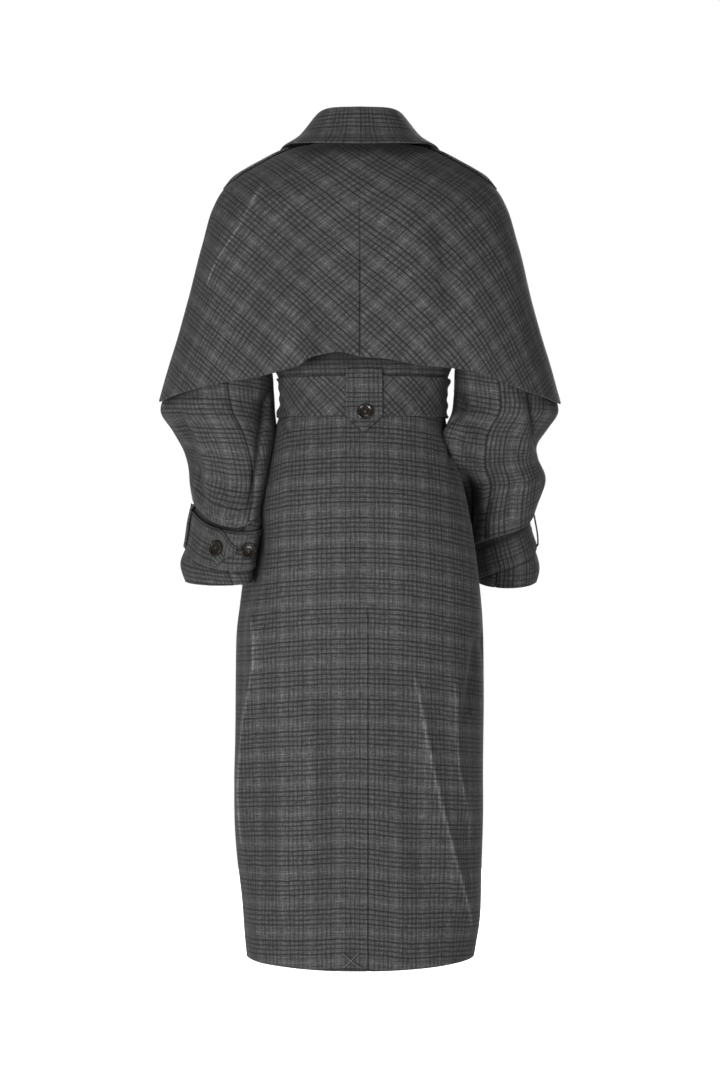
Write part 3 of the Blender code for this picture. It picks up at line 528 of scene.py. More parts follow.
def makeBodiceBack():
    z = bodiceHeights(bodice["step"])[:, None]
    edge = math.pi / 2 - armholeEdge(z)
    turn = edge * (shares(bodice["backWidth"], bodice["step"]) * 2 - 1)[None, :]
    points = torso(turn, z)
    x, seenZ = seen(points)
    lift = crease(x, seenZ, bodice["tuck"], bodice["tuckWidth"], bodice["tuckRise"], across=True)
    points = moveOut(points, lift)
    u = runLength(points, 1)
    u = u - u[:, u.shape[1] // 2][:, None]
    flat = np.stack((-u, points[..., 2]), -1)
    # a painted shadow below the cape's hem, darkest at its top
    dark = -bodice["capeShade"] * smooth(points[..., 2], bodice["shadeLow"], bodice["shadeTop"])
    makeCloth(
        "backBodice", ["bodice_back"], points, flat, body["cloth"], "draped", shift=bodice["shift"], paintedLight=dark,
    )


def frontEdgeX(z):  # a front's free edge, measured towards its own side
    neckline = bodice["neckTopX"] * (z - bodice["breakZ"]) / (body["neckZ"] - bodice["breakZ"])
    lapped = -bodice["lapX"] * smooth(z, bodice["breakZ"], bodice["lapFullZ"])
    return np.where(z >= bodice["breakZ"], neckline, lapped)


def underFront(points):  # the left front steps in where the right one laps over it
    stepX = bodice["lapX"] + bodice["clear"]
    across = 1 - smooth(points[..., 0], stepX, stepX + body["lapStep"])
    return -body["lapDepth"] * across * smooth(points[..., 2], bodice["stepTopZ"], bodice["stepLowZ"])


def hemLift(turn, z):  # the hem is a little higher at the sides
    return z + body["hemSideRise"] * smooth(z, skirt["ventTop"], body["hemZ"]) * np.sin(turn) ** 2


def frontGrid(z, width, step):
    side = math.pi / 2 + armholeEdge(z)
    edge = torsoTurn(z, frontEdgeX(z), False) % (2 * math.pi)
    return side + (edge - side) * shares(width, step)[None, :]


def flatFromEdge(points):  # cloth laid flat from the centre edge
    u = runLength(points, 1)
    return np.stack((u - u[:, -1:], points[..., 2]), -1)


def makeBodiceFronts():
    z = bodiceHeights(bodice["step"])[:, None]
    turn = frontGrid(z, bodice["frontWidth"], bodice["step"])
    points = torso(turn, z)
    left = moveOut(points, underFront(points))
    makeCloth("leftFrontBodice", ["bodice_front_left"], left, flatFromEdge(left), body["cloth"], "draped")
    points = torso(-turn, z) * np.array((-1, 1, 1))
    makeCloth(
        "rightFrontBodice", ["bodice_front_right"], points, flatFromEdge(points), body["cloth"], "draped",
        mirrored=True,
    )


# Skirt: creases are (path, width, rise, sharp), with paths of (z, x) as seen from behind.
skirt = {
    "backStep": 2.8,
    "leftWidth": 290,
    "rightWidth": 310,
    "frontStep": 4.6,
    "frontWidth": 330,
    "seamX": -10,
    "ventTop": -672,
    "underlapX": 30,
    "hemThick": 2.6,
    "hemDeep": 34,
    "beltLow": -383,
    "sideFade": 18,
    "backCreases": (
        (((-740, -76), (-772, -81), (-930, -113), (-1130, -164)), (7, 30), 7.5, True),
        (((-750, -136), (-778, -136), (-882, -139), (-962, -153), (-1000, -157)), (6, 16), 6.0, True),
        (((-680, -172), (-760, -162), (-830, -150)), 9, -7.0, False),
        (((-650, 159), (-701, 150), (-836, 166), (-938, 170), (-1010, 170)), (20, 6), 6.5, True),
        (((-640, 168), (-760, 170), (-900, 172)), 7, -4.0, False),
        (((-752, 104), (-890, 78), (-1000, 96), (-1140, 137)), 20, 5.0, False),
        (((-740, 66), (-900, 44), (-1060, 56), (-1150, 66)), 16, -4.0, False),
        (((-860, 128), (-1000, 132), (-1140, 120)), 14, -3.6, False),
        (((-700, -52), (-900, -66), (-1130, -100)), 16, -3.4, False),
        (((-470, -60), (-600, -52), (-740, -40)), 22, 2.2, False),
        (((-440, 60), (-560, 74), (-700, 96)), 20, 2.2, False),
        (((-386, 103), (-430, 104), (-520, 106)), 3.2, -2.6, False),
        (((-388, 112), (-405, 101), (-425, 96)), 3.0, -2.4, False),
        (((-398, -126), (-430, -128), (-462, -130)), 2.6, -4.2, False),
        (((-400, -100), (-470, -106), (-560, -110)), 9, -1.4, False),
        (((-385, 60), (-440, 62), (-500, 66)), 10, -1.0, False),
        (((-704, 46), (-712, 41), (-722, 35)), (2.5, 6), 2.2, True),
    ),
    "frontCreases": (
        (((-420, 60), (-640, 66), (-900, 84)), 12, 3.0, False),
        (((-395, 96), (-450, 100), (-560, 104)), 8, -2.5, False),
        (((-760, 40), (-920, 54), (-1120, 76)), 10, 3.0, True),
        (((-700, 130), (-880, 138), (-1100, 146)), 12, -3.0, False),
    ),
    "rightDroop": 15,
    "leftDroop": 9,
    "shift": (0, 12),
}


def skirtHeights(step):
    top = body["waistZ"] - body["seamGap"] / 2
    places = np.concatenate((even(top, body["hemZ"] + 6, step), (body["hemZ"] + 3, body["hemZ"] + 1, body["hemZ"])))
    return places[:, None]


def skirtThick(points):
    return body["cloth"] + (skirt["hemThick"] - body["cloth"]) * smooth(
        points[..., 2], body["hemZ"] + skirt["hemDeep"], body["hemZ"] + skirt["hemDeep"] - 8
    )


# Painted light along creases: a painted highlight on pressed ridges and painted shade in troughs, in a line for pressed
# ones and all over for soft ones. The sleeves' own lines are (tone, place, width): a painted highlight on the lip's
# edge, painted shadows below the lip and the strap and on the strap under the lip, and painted shade along the seams.
paintedShading = {
    "crestWidth": 2.6,
    "paintedLight": 1.6,
    "fullRise": 6,
    "troughWidth": 3.0,
    "trough": -0.85,
    "softRise": 4,
    "softCrest": 0.16,
    "softTrough": 0.22,
    "leastFacing": 0.2,
    "ends": (0.1, 0.12),
    "cuff": 0.4,
    "seam": (-0.5, 0, 1.5),
    "lipEdge": (0.3, 2, 3),
    "lipShadow": (-0.85, -15, 6),
    "strapShadow": (-0.75, 1, 3.2),
    "underLip": (-0.85, 2, 6),
    "darkest": -0.9,
}


def creaseSum(points, creases, x, z):
    lift = np.zeros(points.shape[:2])
    paintedLight = np.zeros(points.shape[:2])
    # a line stays thin where the cloth turns away
    facing = np.maximum(np.abs(gridNormals(points, 1)[..., 1]), paintedShading["leastFacing"])
    for path, width, rise, sharp in creases:
        one = crease(x, z, path, width, rise, sharp)
        lift = lift + one
        # sharp creases get a painted highlight on ridges and painted shade in troughs; soft ones a faint painted
        # highlight and shade all over
        if sharp:
            paintedLightLevel = paintedShading["paintedLight"] * min(rise / paintedShading["fullRise"], 1) if rise > 0 else paintedShading["trough"]
            wide = facing * (paintedShading["crestWidth"] if rise > 0 else paintedShading["troughWidth"])
            paintedLight = paintedLight + crease(x, z, path, wide, paintedLightLevel, ends=paintedShading["ends"])
        else:
            paintedLight = paintedLight + np.tanh(one / paintedShading["softRise"]) * np.where(one > 0, paintedShading["softCrest"], paintedShading["softTrough"])
    return lift, paintedLight


def skirtFlat(points, u):
    x, z = points[..., 0], points[..., 2]
    low = 1 - 0.55 * smooth(z, -600, -1100)
    droop = np.where(x < 0, skirt["rightDroop"], skirt["leftDroop"]) * (x / 130) ** 2 * low
    wave = band(x, 3.5, -70, 38) + band(x, -3.0, 20, 40)
    tuck = np.where(x > 103, (x - 103) * 0.30, 0) * (1 - smooth(z, -430, -560))
    return np.stack((-u, z + droop + tuck + wave * smooth(z, -760, -980)), -1)


def skirtBackLift(points, fromSide):  # creases that fade at the belt and towards the side seam
    z = points[..., 2]
    lift, paintedLight = creaseSum(points, skirt["backCreases"], *seen(points))
    free = smooth(z, skirt["beltLow"] - 4, skirt["beltLow"] - 60)
    lift = lift * smooth(z, skirt["beltLow"], skirt["beltLow"] - 14)
    lift = lift + ripple(points[..., 0], z, 1.6) * free
    lift = lift + ripple(points[..., 0] * 3.1, z * 1.1 + 70, 0.55) * free
    return lift * smooth(fromSide, 0, skirt["sideFade"]), paintedLight


def sewSkirtBack(side, points, lift, paintedLight, u):
    closed = smooth(points[..., 2], skirt["ventTop"] - 10, skirt["ventTop"] + 10)
    lift = lift + seamDip(u) * closed
    shown = moveOut(points, lift)
    makeCloth(
        f"{side}BackSkirt", [f"skirt_back_{side}"], shown, skirtFlat(shown, u), skirtThick(shown), "hung", paintedLight=paintedLight,
        shift=skirt["shift"], rests=["backBodice"],
    )


def makeSkirtBacks():
    z = skirtHeights(skirt["backStep"])
    side = math.pi / 2 - body["seamGap"] / curve(torsoRows, 1, z)
    seam = torsoTurn(z, skirt["seamX"] + body["seamGap"] / 2, True)
    turn = seam + (side - seam) * shares(skirt["leftWidth"], skirt["backStep"])[None, :]
    points = torso(turn, hemLift(turn, z))
    u = runLength(points, 1)
    lift, paintedLight = skirtBackLift(points, u[:, -1:] - u)
    sewSkirtBack("left", points, lift, paintedLight, u)
    # below the vent's top the right back goes on under the left one
    out = smooth(z, skirt["ventTop"], skirt["ventTop"] - 18)
    edgeX = skirt["seamX"] - body["seamGap"] / 2 + (skirt["underlapX"] - skirt["seamX"]) * out
    edge = torsoTurn(z, edgeX, True)
    turn = -side + (edge + side) * shares(skirt["rightWidth"], skirt["backStep"])[None, :]
    points = torso(turn, hemLift(turn, z))
    u = runLength(points, 1)
    lift, paintedLight = skirtBackLift(points, u)
    under = smooth(points[..., 0], skirt["seamX"] - body["lapStep"], skirt["seamX"] - bodice["clear"])
    under = under * smooth(z, skirt["ventTop"] + 32, skirt["ventTop"] + 4)
    atSeam = [np.interp(s, t, k) for s, t, k in zip(seam[:, 0], turn, u)]
    sewSkirtBack("right", points, lift - body["lapDepth"] * under, paintedLight, u - np.array(atSeam)[:, None])


def makeSkirtFronts():
    z = skirtHeights(skirt["frontStep"])
    turn = frontGrid(z, skirt["frontWidth"], skirt["frontStep"])
    for side, sign in (("left", 1), ("right", -1)):
        points = torso(sign * turn, hemLift(turn, z)) * np.array((sign, 1, 1))
        lift, paintedLight = creaseSum(points, skirt["frontCreases"], points[..., 0], points[..., 2])
        free = smooth(points[..., 2], skirt["beltLow"] - 4, skirt["beltLow"] - 60)
        lift = (lift + ripple(points[..., 0] * sign, points[..., 2], 1.2)) * free
        lap = smooth(points[..., 0], bodice["lapX"] + 14, bodice["lapX"] + 40)
        lift = lift * lap * smooth(runLength(points, 1), 0, skirt["sideFade"])
        lift = lift + (underFront(points) if sign > 0 else 0)
        shown = moveOut(points, lift)
        makeCloth(
            f"{side}FrontSkirt", [f"skirt_front_{side}"], shown, flatFromEdge(shown), skirtThick(shown), "hung",
            mirrored=sign < 0, paintedLight=paintedLight, shift=skirt["shift"], rests=[f"{side}FrontBodice"],
        )


# Cape rows: height at the centre back, droop of the side, half width, depths, squareness, reach.
capeRows = (
    (2, 0, 94, 70, 50, 1.8, 84), (-8, 0, 119, 80, 62, 1.7, 85), (-20, 0, 142, 90, 72, 1.65, 86),
    (-31, 0, 162, 97, 80, 1.65, 87), (-43, 0, 180.5, 103, 84, 1.7, 90), (-56, 2, 195.5, 108, 84, 1.8, 95),
    (-76, 8, 211, 113, 80, 2.0, 98), (-120, 20, 229, 120, 74, 2.2, 100), (-180, 38, 248, 127, 68, 2.35, 101),
    (-240, 54, 267, 132, 64, 2.4, 102), (-303, 68, 287, 137, 62, 2.4, 102),
)
# The hem's line as seen from behind, as (x, z), and the creases as on the skirt.
capes = {
    "step": 3.0,
    "width": 330,
    "droopPower": 0.9,
    "thick": 1.6,
    "hemThick": 3.0,
    "apex": 185,
    "flatReach": 40,
    "tipRise": 18,
    "leftHem": (
        (0, -294), (27, -287.5), (56, -290.5), (73, -296), (86, -306), (103, -311.5), (147, -323), (190, -330),
        (234, -340), (266, -350), (282, -357), (290, -360),
    ),
    "rightHem": (
        (0, -294), (40, -297.5), (84, -306), (129, -310.5), (172, -317.5), (204, -330), (237, -343), (266, -353),
        (282, -360), (290, -363),
    ),
    "leftCreases": (
        (((-40, 133), (-52, 139), (-119, 177), (-180, 213), (-200, 223)), (18, 6), 5.0, True),
        (((-186, 84), (-250, 92), (-312, 98)), (9, 18), 7.0, False),
        (((-215, 58), (-260, 58), (-300, 58)), 15, -6.0, False),
        (((-120, 120), (-200, 138), (-320, 160)), 22, -4.0, False),
        (((-70, 70), (-140, 84), (-230, 100)), 20, -2.4, False),
        (((-60, 198), (-160, 232), (-330, 262)), 16, -3.0, False),
    ),
    "rightCreases": (
        (((-80, 105), (-154, 121), (-236, 126)), 13, -5.0, False),
        (((-150, 150), (-230, 160), (-318, 172)), 20, 4.0, False),
        (((-60, 60), (-140, 70), (-250, 62)), 22, 2.6, False),
        (((-60, 200), (-160, 234), (-330, 262)), 16, -3.0, False),
        (((-200, 96), (-260, 92), (-304, 88)), 12, 3.4, False),
    ),
}


def cape(turn, row):
    turn, row = np.broadcast_arrays(turn, row)
    x, y = ringPoint(turn, *(curve(capeRows, k, row) for k in (2, 3, 4, 5)))
    reach = np.radians(curve(capeRows, 6, row))
    droop = curve(capeRows, 1, row) * np.abs(turn / reach) ** capes["droopPower"]
    return np.stack((x, y, row - droop), -1)


def makeCapes():
    row = np.concatenate((even(2, -297, capes["step"]), (-300, -302, -303)))[:, None]
    reach = np.radians(curve(capeRows, 6, row))
    start = body["seamGap"] / curve(capeRows, 2, row)
    turn = start + (reach - start) * shares(capes["width"], capes["step"])[None, :]
    for side, sign in (("left", 1), ("right", -1)):
        points = cape(turn, row)
        wanted = curve(capes[side + "Hem"], 1, seen(points)[0][-1])
        scale = (camera["distance"] - points[-1, :, 1]) / camera["distance"]
        change = camera["height"] + (wanted - camera["height"]) * scale - points[-1, :, 2]
        behind = 1 - smooth(turn[-1], math.radians(86), math.radians(97))
        points[..., 2] += (change * behind)[None, :] * smooth(row, -190, -303)
        tip = smooth(turn, math.radians(87), math.radians(101)) * smooth(row, -240, -303)
        points[..., 2] += capes["tipRise"] * tip
        lift, paintedLight = creaseSum(points, capes[side + "Creases"], *seen(points))
        lift = lift + ripple(points[..., 0] * sign, points[..., 2], 1.0) * smooth(row, -60, -160)
        lift = lift + seamDip(runLength(points, 1), 0.9, 2.0)
        length = runLength(points, 0)
        radius = capes["apex"] + length
        spread = np.radians(capes["flatReach"]) * runLength(points, 1) / runLength(points, 1)[:, -1:]
        shown = moveOut(points, lift)
        # the cloth is a sector of a ring when laid flat, and its grain crosses the centre seam on the bias
        flat = np.stack((-sign * radius * np.sin(spread), -radius * np.cos(spread)), -1)
        thick = capes["thick"] + (capes["hemThick"] - capes["thick"]) * smooth(row, -280, -286)
        makeCloth(
            f"{side}Cape", [f"cape_{side}"], shown, flat, thick, "draped", mirrored=sign < 0, grain=45, paintedLight=paintedLight,
            rests=["backBodice"],
        )


# Collar at stations from the centre back to its front end: neck seam, fold line and outer edge.
collarRows = (
    (0.0, 0, 59.3, 8.4, 0, 60, 47, 0, 100, -3), (0.28, 44, 44.2, 8.4, 40, 47.5, 46.5, 70, 84, -1),
    (0.52, 65, 6, 8.6, 55, 8, 43, 106, 29, 2.5), (0.76, 65, -31, 5, 57, -33, 33, 118, -39, -15),
    (1.0, 58, -65, -24, 57, -73, -12, 111, -84, -66),
)
collars = {
    "thick": 2.2,
    "length": 520,
    "height": 110,
    "foldRise": 4,
    "foldSpread": 5,
    "fallBow": -1,
    "around": 3.2,
    "across": 2.4,
    "shift": (8, 21),
}


def collar(station, across):
    at = np.abs(station)
    value = [curve(collarRows, k, at) for k in range(1, 10)]
    seam, fold, edge = (np.stack(value[k:k + 3], -1) for k in (0, 3, 6))
    out = (edge - fold) * np.array((1, 1, 0))
    out = out / np.linalg.norm(out, axis=-1, keepdims=True)
    up = np.array((0, 0, 1))
    spread = collars["foldSpread"]
    knots = [
        seam,
        seam + (fold - seam) * 0.55,
        fold,
        fold + out * spread + up * collars["foldRise"],
        fold + out * 2.2 * spread,
        fold + (edge - fold) * 0.6 + (out + up) * collars["fallBow"],
        edge,
    ]
    knots = np.stack(knots)
    place = across * (len(knots) - 1)
    k = np.clip(place.astype(int), 0, len(knots) - 2)
    t = (place - k)[..., None]

    def knot(which):
        which = np.clip(which, 0, len(knots) - 1)
        return np.take_along_axis(knots, which[None, ..., None], 0)[0]

    leave = (knot(k + 1) - knot(k - 1)) / 2
    arrive = (knot(k + 2) - knot(k)) / 2
    point = hermite(t, knot(k), knot(k + 1), leave, arrive)
    point[..., 0] = np.abs(point[..., 0]) * np.sign(station)
    return point


def makeCollar():
    station = (shares(collars["length"], collars["around"]) * 2 - 1)[None, :]
    across = shares(collars["height"], collars["across"])[:, None]
    station, across = np.broadcast_arrays(station, across)
    points = collar(station, across)
    normal = gridNormals(points, 1)
    points = points + normal * collars["thick"] / 2
    fall = smooth(across, 0.45, 0.7)
    points = points + normal * (ripple(station * 260, across * 90, 0.8) * fall)[..., None]
    u = runLength(points, 1)
    middle = u.shape[1] // 2
    u = (u - u[:, middle:middle + 1])[int(u.shape[0] * 0.8)][None, :]
    v = runLength(points, 0)
    v = v[-1:, :] - v
    flat = np.stack(np.broadcast_arrays(-u, v), -1)
    makeCloth("collarCloth", ["collar"], points, flat, collars["thick"], "folded", shift=collars["shift"],
              rests=["backBodice"])


# Lapels: height and width outwards from the neckline.
lapelRows = ((-14, 24), (-42, 50), (-68, 86), (-110, 76), (-165, 46), (-210, 18), (-229, 5))
lapels = {"lift": 1.2, "thick": 1.5, "step": 3.5, "roll": 3.0}


def makeLapels():
    z = np.unique(np.concatenate((even(-14, -68, 2.5), even(-68, -229, lapels["step"]))))[::-1][:, None]
    inner = bodice["neckTopX"] * (z - bodice["breakZ"]) / (body["neckZ"] - bodice["breakZ"]) + 1
    share = shares(80, lapels["step"])[None, :]
    x = inner + curve(lapelRows, 1, z) * share
    turn = torsoTurn(z, x, False)
    points = torso(turn, np.broadcast_to(z, x.shape))
    # the lapel rolls away from the front along its fold and lies flat at its edge
    roll = lapels["roll"] * np.sin(np.clip(share, 0, 1) * math.pi) * smooth(z, -235, -120)
    points = moveOut(points, lapels["lift"] + lapels["thick"] + roll, -1)
    flat = np.stack((x, points[..., 2]), -1)
    for side in ("left", "right"):
        makeCloth(
            f"{side}Lapel", [f"lapel_{side}"], points, flat, lapels["thick"], "folded", facing=-1,
            mirrored=side == "right", rests=[f"{side}FrontBodice"],
        )


# Sleeve sections below the armhole: row height, inner and outer edge, back and front edge, tilt, skew.
leftSleeveRows = (
    (-215, 158, 235, 56, -62, 0, 0), (-260, 145, 248, 58, -64, 0, 0),
    (-310, 127, 265, 60, -66, 0, 0), (-345, 123.5, 277, 60, -67, 0, 0),
    (-376, 122, 285, 57, -68, 0.04, -0.08), (-400, 119.5, 270, 55, -62, 0.07, -0.28),
    (-430, 124.5, 254.5, 54, -54, 0.10, -0.58), (-460, 129, 246, 56, -46, 0.11, -0.70),
    (-500, 134, 239, 58, -36, 0.12, -0.74), (-530, 139, 243, 60, -30, 0.12, -0.75),
    (-565, 147, 249, 63, -26, 0.11, -0.75), (-590, 150, 258, 65, -24, 0.10, -0.75),
    (-625, 152, 248, 66, -22, 0.10, -0.75),
)
rightSleeveRows = (
    (-215, 158, 235, 56, -62, 0, 0), (-260, 147, 248, 58, -64, 0, 0),
    (-310, 136, 265, 60, -66, 0, 0), (-345, 135, 277, 60, -67, 0, 0),
    (-376, 132, 285, 56, -70, 0.05, 0), (-400, 123, 272, 45, -77, 0.12, 0),
    (-430, 132, 256, 28, -92, 0.18, 0), (-470, 140, 265, 5, -108, 0.20, 0),
    (-505, 148, 246, -13, -124, 0.20, 0), (-530, 152, 244, -26, -135, 0.20, 0),
    (-565, 159, 254, -40, -146, 0.20, 0), (-600, 166, 263, -51, -154, 0.20, 0),
    (-625, 172, 257, -57, -158, 0.20, 0),
)
# The back seam of a sleeve and the middle line of a cuff strap: height and angle round the sleeve.
leftSeamRows = (
    (-48, 95), (-215, 97), (-330, 99), (-400, 112), (-500, 131), (-540, 124), (-585, 108), (-630, 120),
)
rightSeamRows = (
    (-48, 95), (-215, 97), (-330, 97), (-400, 99), (-500, 106), (-540, 110), (-585, 108), (-630, 116),
)
leftStrapRows = ((0, -533), (90, -566), (180, -569), (270, -550), (360, -533))
rightStrapRows = ((0, -539), (90, -561), (180, -585), (270, -563), (360, -539))
# The lip where the gathered arm hangs over the strap: height above the strap, out, drop.
lipRows = (
    (60, 0, 0), (40, 3.5, 0), (25, 7.0, 2), (14, 9.8, 7), (8, 10.4, 12), (4, 9.8, 14.5), (1, 8.4, 13),
    (-2, 7.2, 4), (-4, 6.8, -4), (-5.5, 5.5, -8.5), (-7, 3, -10), (-8.5, 0.8, -9.5), (-12, 0.3, -4), (-16, 0, 0),
)
lipSteps = (
    20, 17, 14, 11.5, 9.5, 8, 6.5, 5, 4, 3, 2, 1, 0, -1, -2, -3, -4, -4.8, -5.5, -6.2, -7, -7.8, -8.5, -10, -12,
    -14, -16,
)
sleeves = {
    "ovalZ": -215,
    "hemZ": -617,
    "elbowZ": -405,
    "clear": 0.7,
    "frontSeam": -112,
    "step": 2.6,
    "upperWidth": 250,
    "underWidth": 150,
    "hemThick": 2.6,
    "capSteps": 40,
    "foreSteps": 30,
    "cuffSteps": 26,
    "lipStart": 23,
    "seamGap": 0.0016,
    "left": {
        "rows": leftSleeveRows,
        "seam": leftSeamRows,
        "strap": leftStrapRows,
        "lip": ((-180, 0), (-60, 0), (-20, 0.1), (10, 0.3), (45, 0.85), (90, 1), (122, 0.85), (150, 0), (250, 0)),
        "lipRaise": ((0, 20), (40, 22), (70, 19), (105, 17), (150, 20), (270, 22), (360, 20)),
        "lipDrop": -12,
        "loopTurn": 20,
        "loopBow": 1.5,
        "creases": (
            (((-330, 126), (-377, 135), (-409, 143), (-451, 150), (-493, 158), (-522, 163)), (2.2, 13), -12.0, True),
            (((-352, 196), (-410, 190), (-470, 186)), 10, 2.4, False),
            (((-400, 226), (-455, 216), (-510, 200)), 12, 4.0, False),
            (((-366, 262), (-420, 243), (-480, 233)), 9, -5.0, False),
            (((-446, 232), (-486, 222), (-520, 204)), 6, -5.0, False),
            (((-462, 202), (-486, 194), (-508, 188)), 6, -3.6, False),
            (((-350, 232), (-380, 240), (-400, 246)), 9, 3.0, False),
        ),
        "cuffCreases": (
            (((-584, 194), (-604, 182), (-624, 168)), (2, 9), 3.4, True),
            (((-586, 216), (-604, 214), (-622, 216)), 6, -2.0, False),
        ),
        "slope": 0.12,
        "grain": {"Upper": 0, "Under": 0, "Strap": 0},
    },
    "right": {
        "rows": rightSleeveRows,
        "seam": rightSeamRows,
        "strap": rightStrapRows,
        "lip": ((-180, 0), (-80, 0), (-30, 0.15), (0, 0.55), (30, 1), (90, 1), (140, 0.9), (178, 0.2), (250, 0)),
        "lipRaise": ((0, 10), (60, 9), (110, 7), (180, 4), (270, 9), (360, 10)),
        "lipDrop": -19,
        "loopTurn": 3,
        "loopBow": 7.0,
        "creases": (
            (((-346, 139), (-362, 146), (-377, 151)), (4, 8), -7.0, False),
            (((-340, 240), (-383, 246), (-412, 250), (-440, 254)), (2.6, 22), -8.0, True),
            (((-345, 226), (-400, 234), (-450, 240)), 9, 4.0, False),
            (((-378, 148), (-396, 164), (-416, 182)), 6, -4.5, False),
            (((-394, 140), (-420, 158), (-444, 182)), 8, 3.6, False),
            (((-418, 146), (-440, 160), (-462, 184)), 6, -3.6, False),
            (((-446, 149), (-470, 152), (-519, 159), (-612, 176)), (3, 9), -8.0, True),
            (((-440, 200), (-490, 190), (-530, 178)), 10, -4.0, False),
            (((-460, 240), (-490, 232), (-515, 222)), 8, 3.6, False),
            (((-470, 224), (-500, 214), (-530, 204)), 6, -3.2, False),
        ),
        "cuffCreases": ((((-590, 214), (-606, 208), (-624, 206)), 7, -2.0, False),),
        "slope": -0.16,
        "grain": {"Upper": 90, "Under": 0, "Strap": 90},
    },
}
pouch = {"runIn": (-362, -408), "runOut": (-452, -486), "angle": 132, "spread": 22, "in": -26, "back": 27}
straps = {
    "half": 27,
    "length": 420,
    "thick": 1.8,
    "gap": 1.5,
    "start": 75,
    "turn": 406,
    "ramp": 28,
    "point": 0.09,
    "rightTurn": 185,
    "bulge": 0.8,
    "bulgeReach": 34,
    "loopHalf": 3.4,
    "loopThick": 2.2,
    "step": 2.6,
    "stitchIn": 4.0,
}


def armhole(angle):
    middle = (body["armholeTop"] + body["armholeLow"]) / 2
    half = (body["armholeTop"] - body["armholeLow"]) / 2
    z = middle + half * np.cos(angle)
    turn = np.sign(np.sin(angle)) * armholeTurn(z)
    return torso(math.pi / 2 - turn, z) + np.array((sleeves["clear"], 0, 0))


def sleeveSection(rows, angle, z):
    xIn, xOut, back, front, tilt, skew = (curve(rows, k, z) for k in range(1, 7))
    x = (xOut - xIn) / 2 * np.cos(angle)
    y = (back - front) / 2 * np.sin(angle)
    return np.stack(((xIn + xOut) / 2 + x, (back + front) / 2 + y + skew * x, z - tilt * y), -1)


def sleeve(rows, angle, row):  # rows from 0 to 1 leave the armhole, from 1 to 2 follow the sections
    angle, row = np.broadcast_arrays(angle, row)
    z = sleeves["ovalZ"] + (np.maximum(row, 1) - 1) * (sleeves["hemZ"] - sleeves["ovalZ"])
    level = sleeveSection(rows, angle, z)
    start = armhole(angle)
    reach = np.linalg.norm(level - start, axis=-1)
    down = 0.35 + 0.3 * np.cos(angle)
    leave = np.stack((0.66 + 0 * angle, 0.35 * np.sin(angle), -down), -1) * reach[..., None]
    arrive = np.stack((0.12 * np.cos(angle), 0 * angle, -1 + 0 * angle), -1) * reach[..., None]
    t = np.clip(row, 0, 1)[..., None]
    return np.where((row >= 1)[..., None], level, hermite(t, start, level, leave, arrive))


def sleeveRow(z):
    return 1 + (z - sleeves["ovalZ"]) / (sleeves["hemZ"] - sleeves["ovalZ"])


def strapMiddle(line, angle):
    return curve(line, 1, np.degrees(angle) % 360)


def lipTop(part, angle):
    return strapMiddle(part["strap"], angle) + straps["half"] + strapMiddle(part["lipRaise"], angle)


def lipAmount(part, angle):
    degrees = np.degrees(angle) % 360
    return curve(part["lip"], 1, np.where(degrees > 248.5, degrees - 360, degrees))


# Rows of a sleeve below the cap: level down to the elbow, then bending to follow the strap.
def sleeveStations():
    stations = [("arm", z) for z in even(sleeves["ovalZ"], sleeves["elbowZ"], sleeves["step"])[1:]]
    stations += [("fore", t) for t in np.linspace(0, 1, sleeves["foreSteps"] + 1)[1:]]
    stations += [("lip", s) for s in lipSteps]
    stations += [("cuff", t) for t in np.linspace(0, 1, sleeves["cuffSteps"] + 1)[1:]]
    return stations


def stationHeight(station, top):
    kind, value = station
    elbow = sleeves["elbowZ"]
    low = top + lipSteps[-1]
    return {
        "arm": value + 0 * top,
        "fore": elbow + (top + sleeves["lipStart"] - elbow) * value,
        "lip": top + value,
        "cuff": low + (sleeves["hemZ"] - low) * value,
    }[kind]


def sleevePlaces(part, kind):  # angle, row and height above the strap for every point
    rows = part["rows"]
    front = math.radians(sleeves["frontSeam"])
    gap = sleeves["seamGap"]
    cap = [("cap", t) for t in np.linspace(0, 1, sleeves["capSteps"] + 1)]
    places = []
    for station in cap + sleeveStations():
        backTop = lipTop(part, math.pi / 2)
        backRow = station[1] if station[0] == "cap" else sleeveRow(stationHeight(station, backTop))
        seamZ = sleeve(rows, math.pi / 2, backRow)[2]
        seam = math.radians(curve(part["seam"], 1, seamZ))
        first, last, width = (front + gap, seam - gap, sleeves["upperWidth"])
        if kind == "Under":
            first, last, width = (seam + gap, front + 2 * math.pi - gap, sleeves["underWidth"])
        angle = first + (last - first) * shares(width, sleeves["step"])
        top = lipTop(part, angle)
        if station[0] == "cap":
            places.append((angle, station[1] + 0 * angle, 400 + 0 * angle))
        else:
            z = stationHeight(station, top)
            places.append((angle, sleeveRow(z), z - top))
    return (np.array([p[k] for p in places]) for k in (0, 1, 2))


def pouchShift(wrapped, z):  # the right sleeve bags out over the skirt behind
    amount = smooth(z, *pouch["runIn"]) * (1 - smooth(z, *pouch["runOut"]))
    around = band(np.degrees(wrapped), amount, pouch["angle"], pouch["spread"])
    return np.stack((around * pouch["in"], around * pouch["back"], 0 * around), -1)


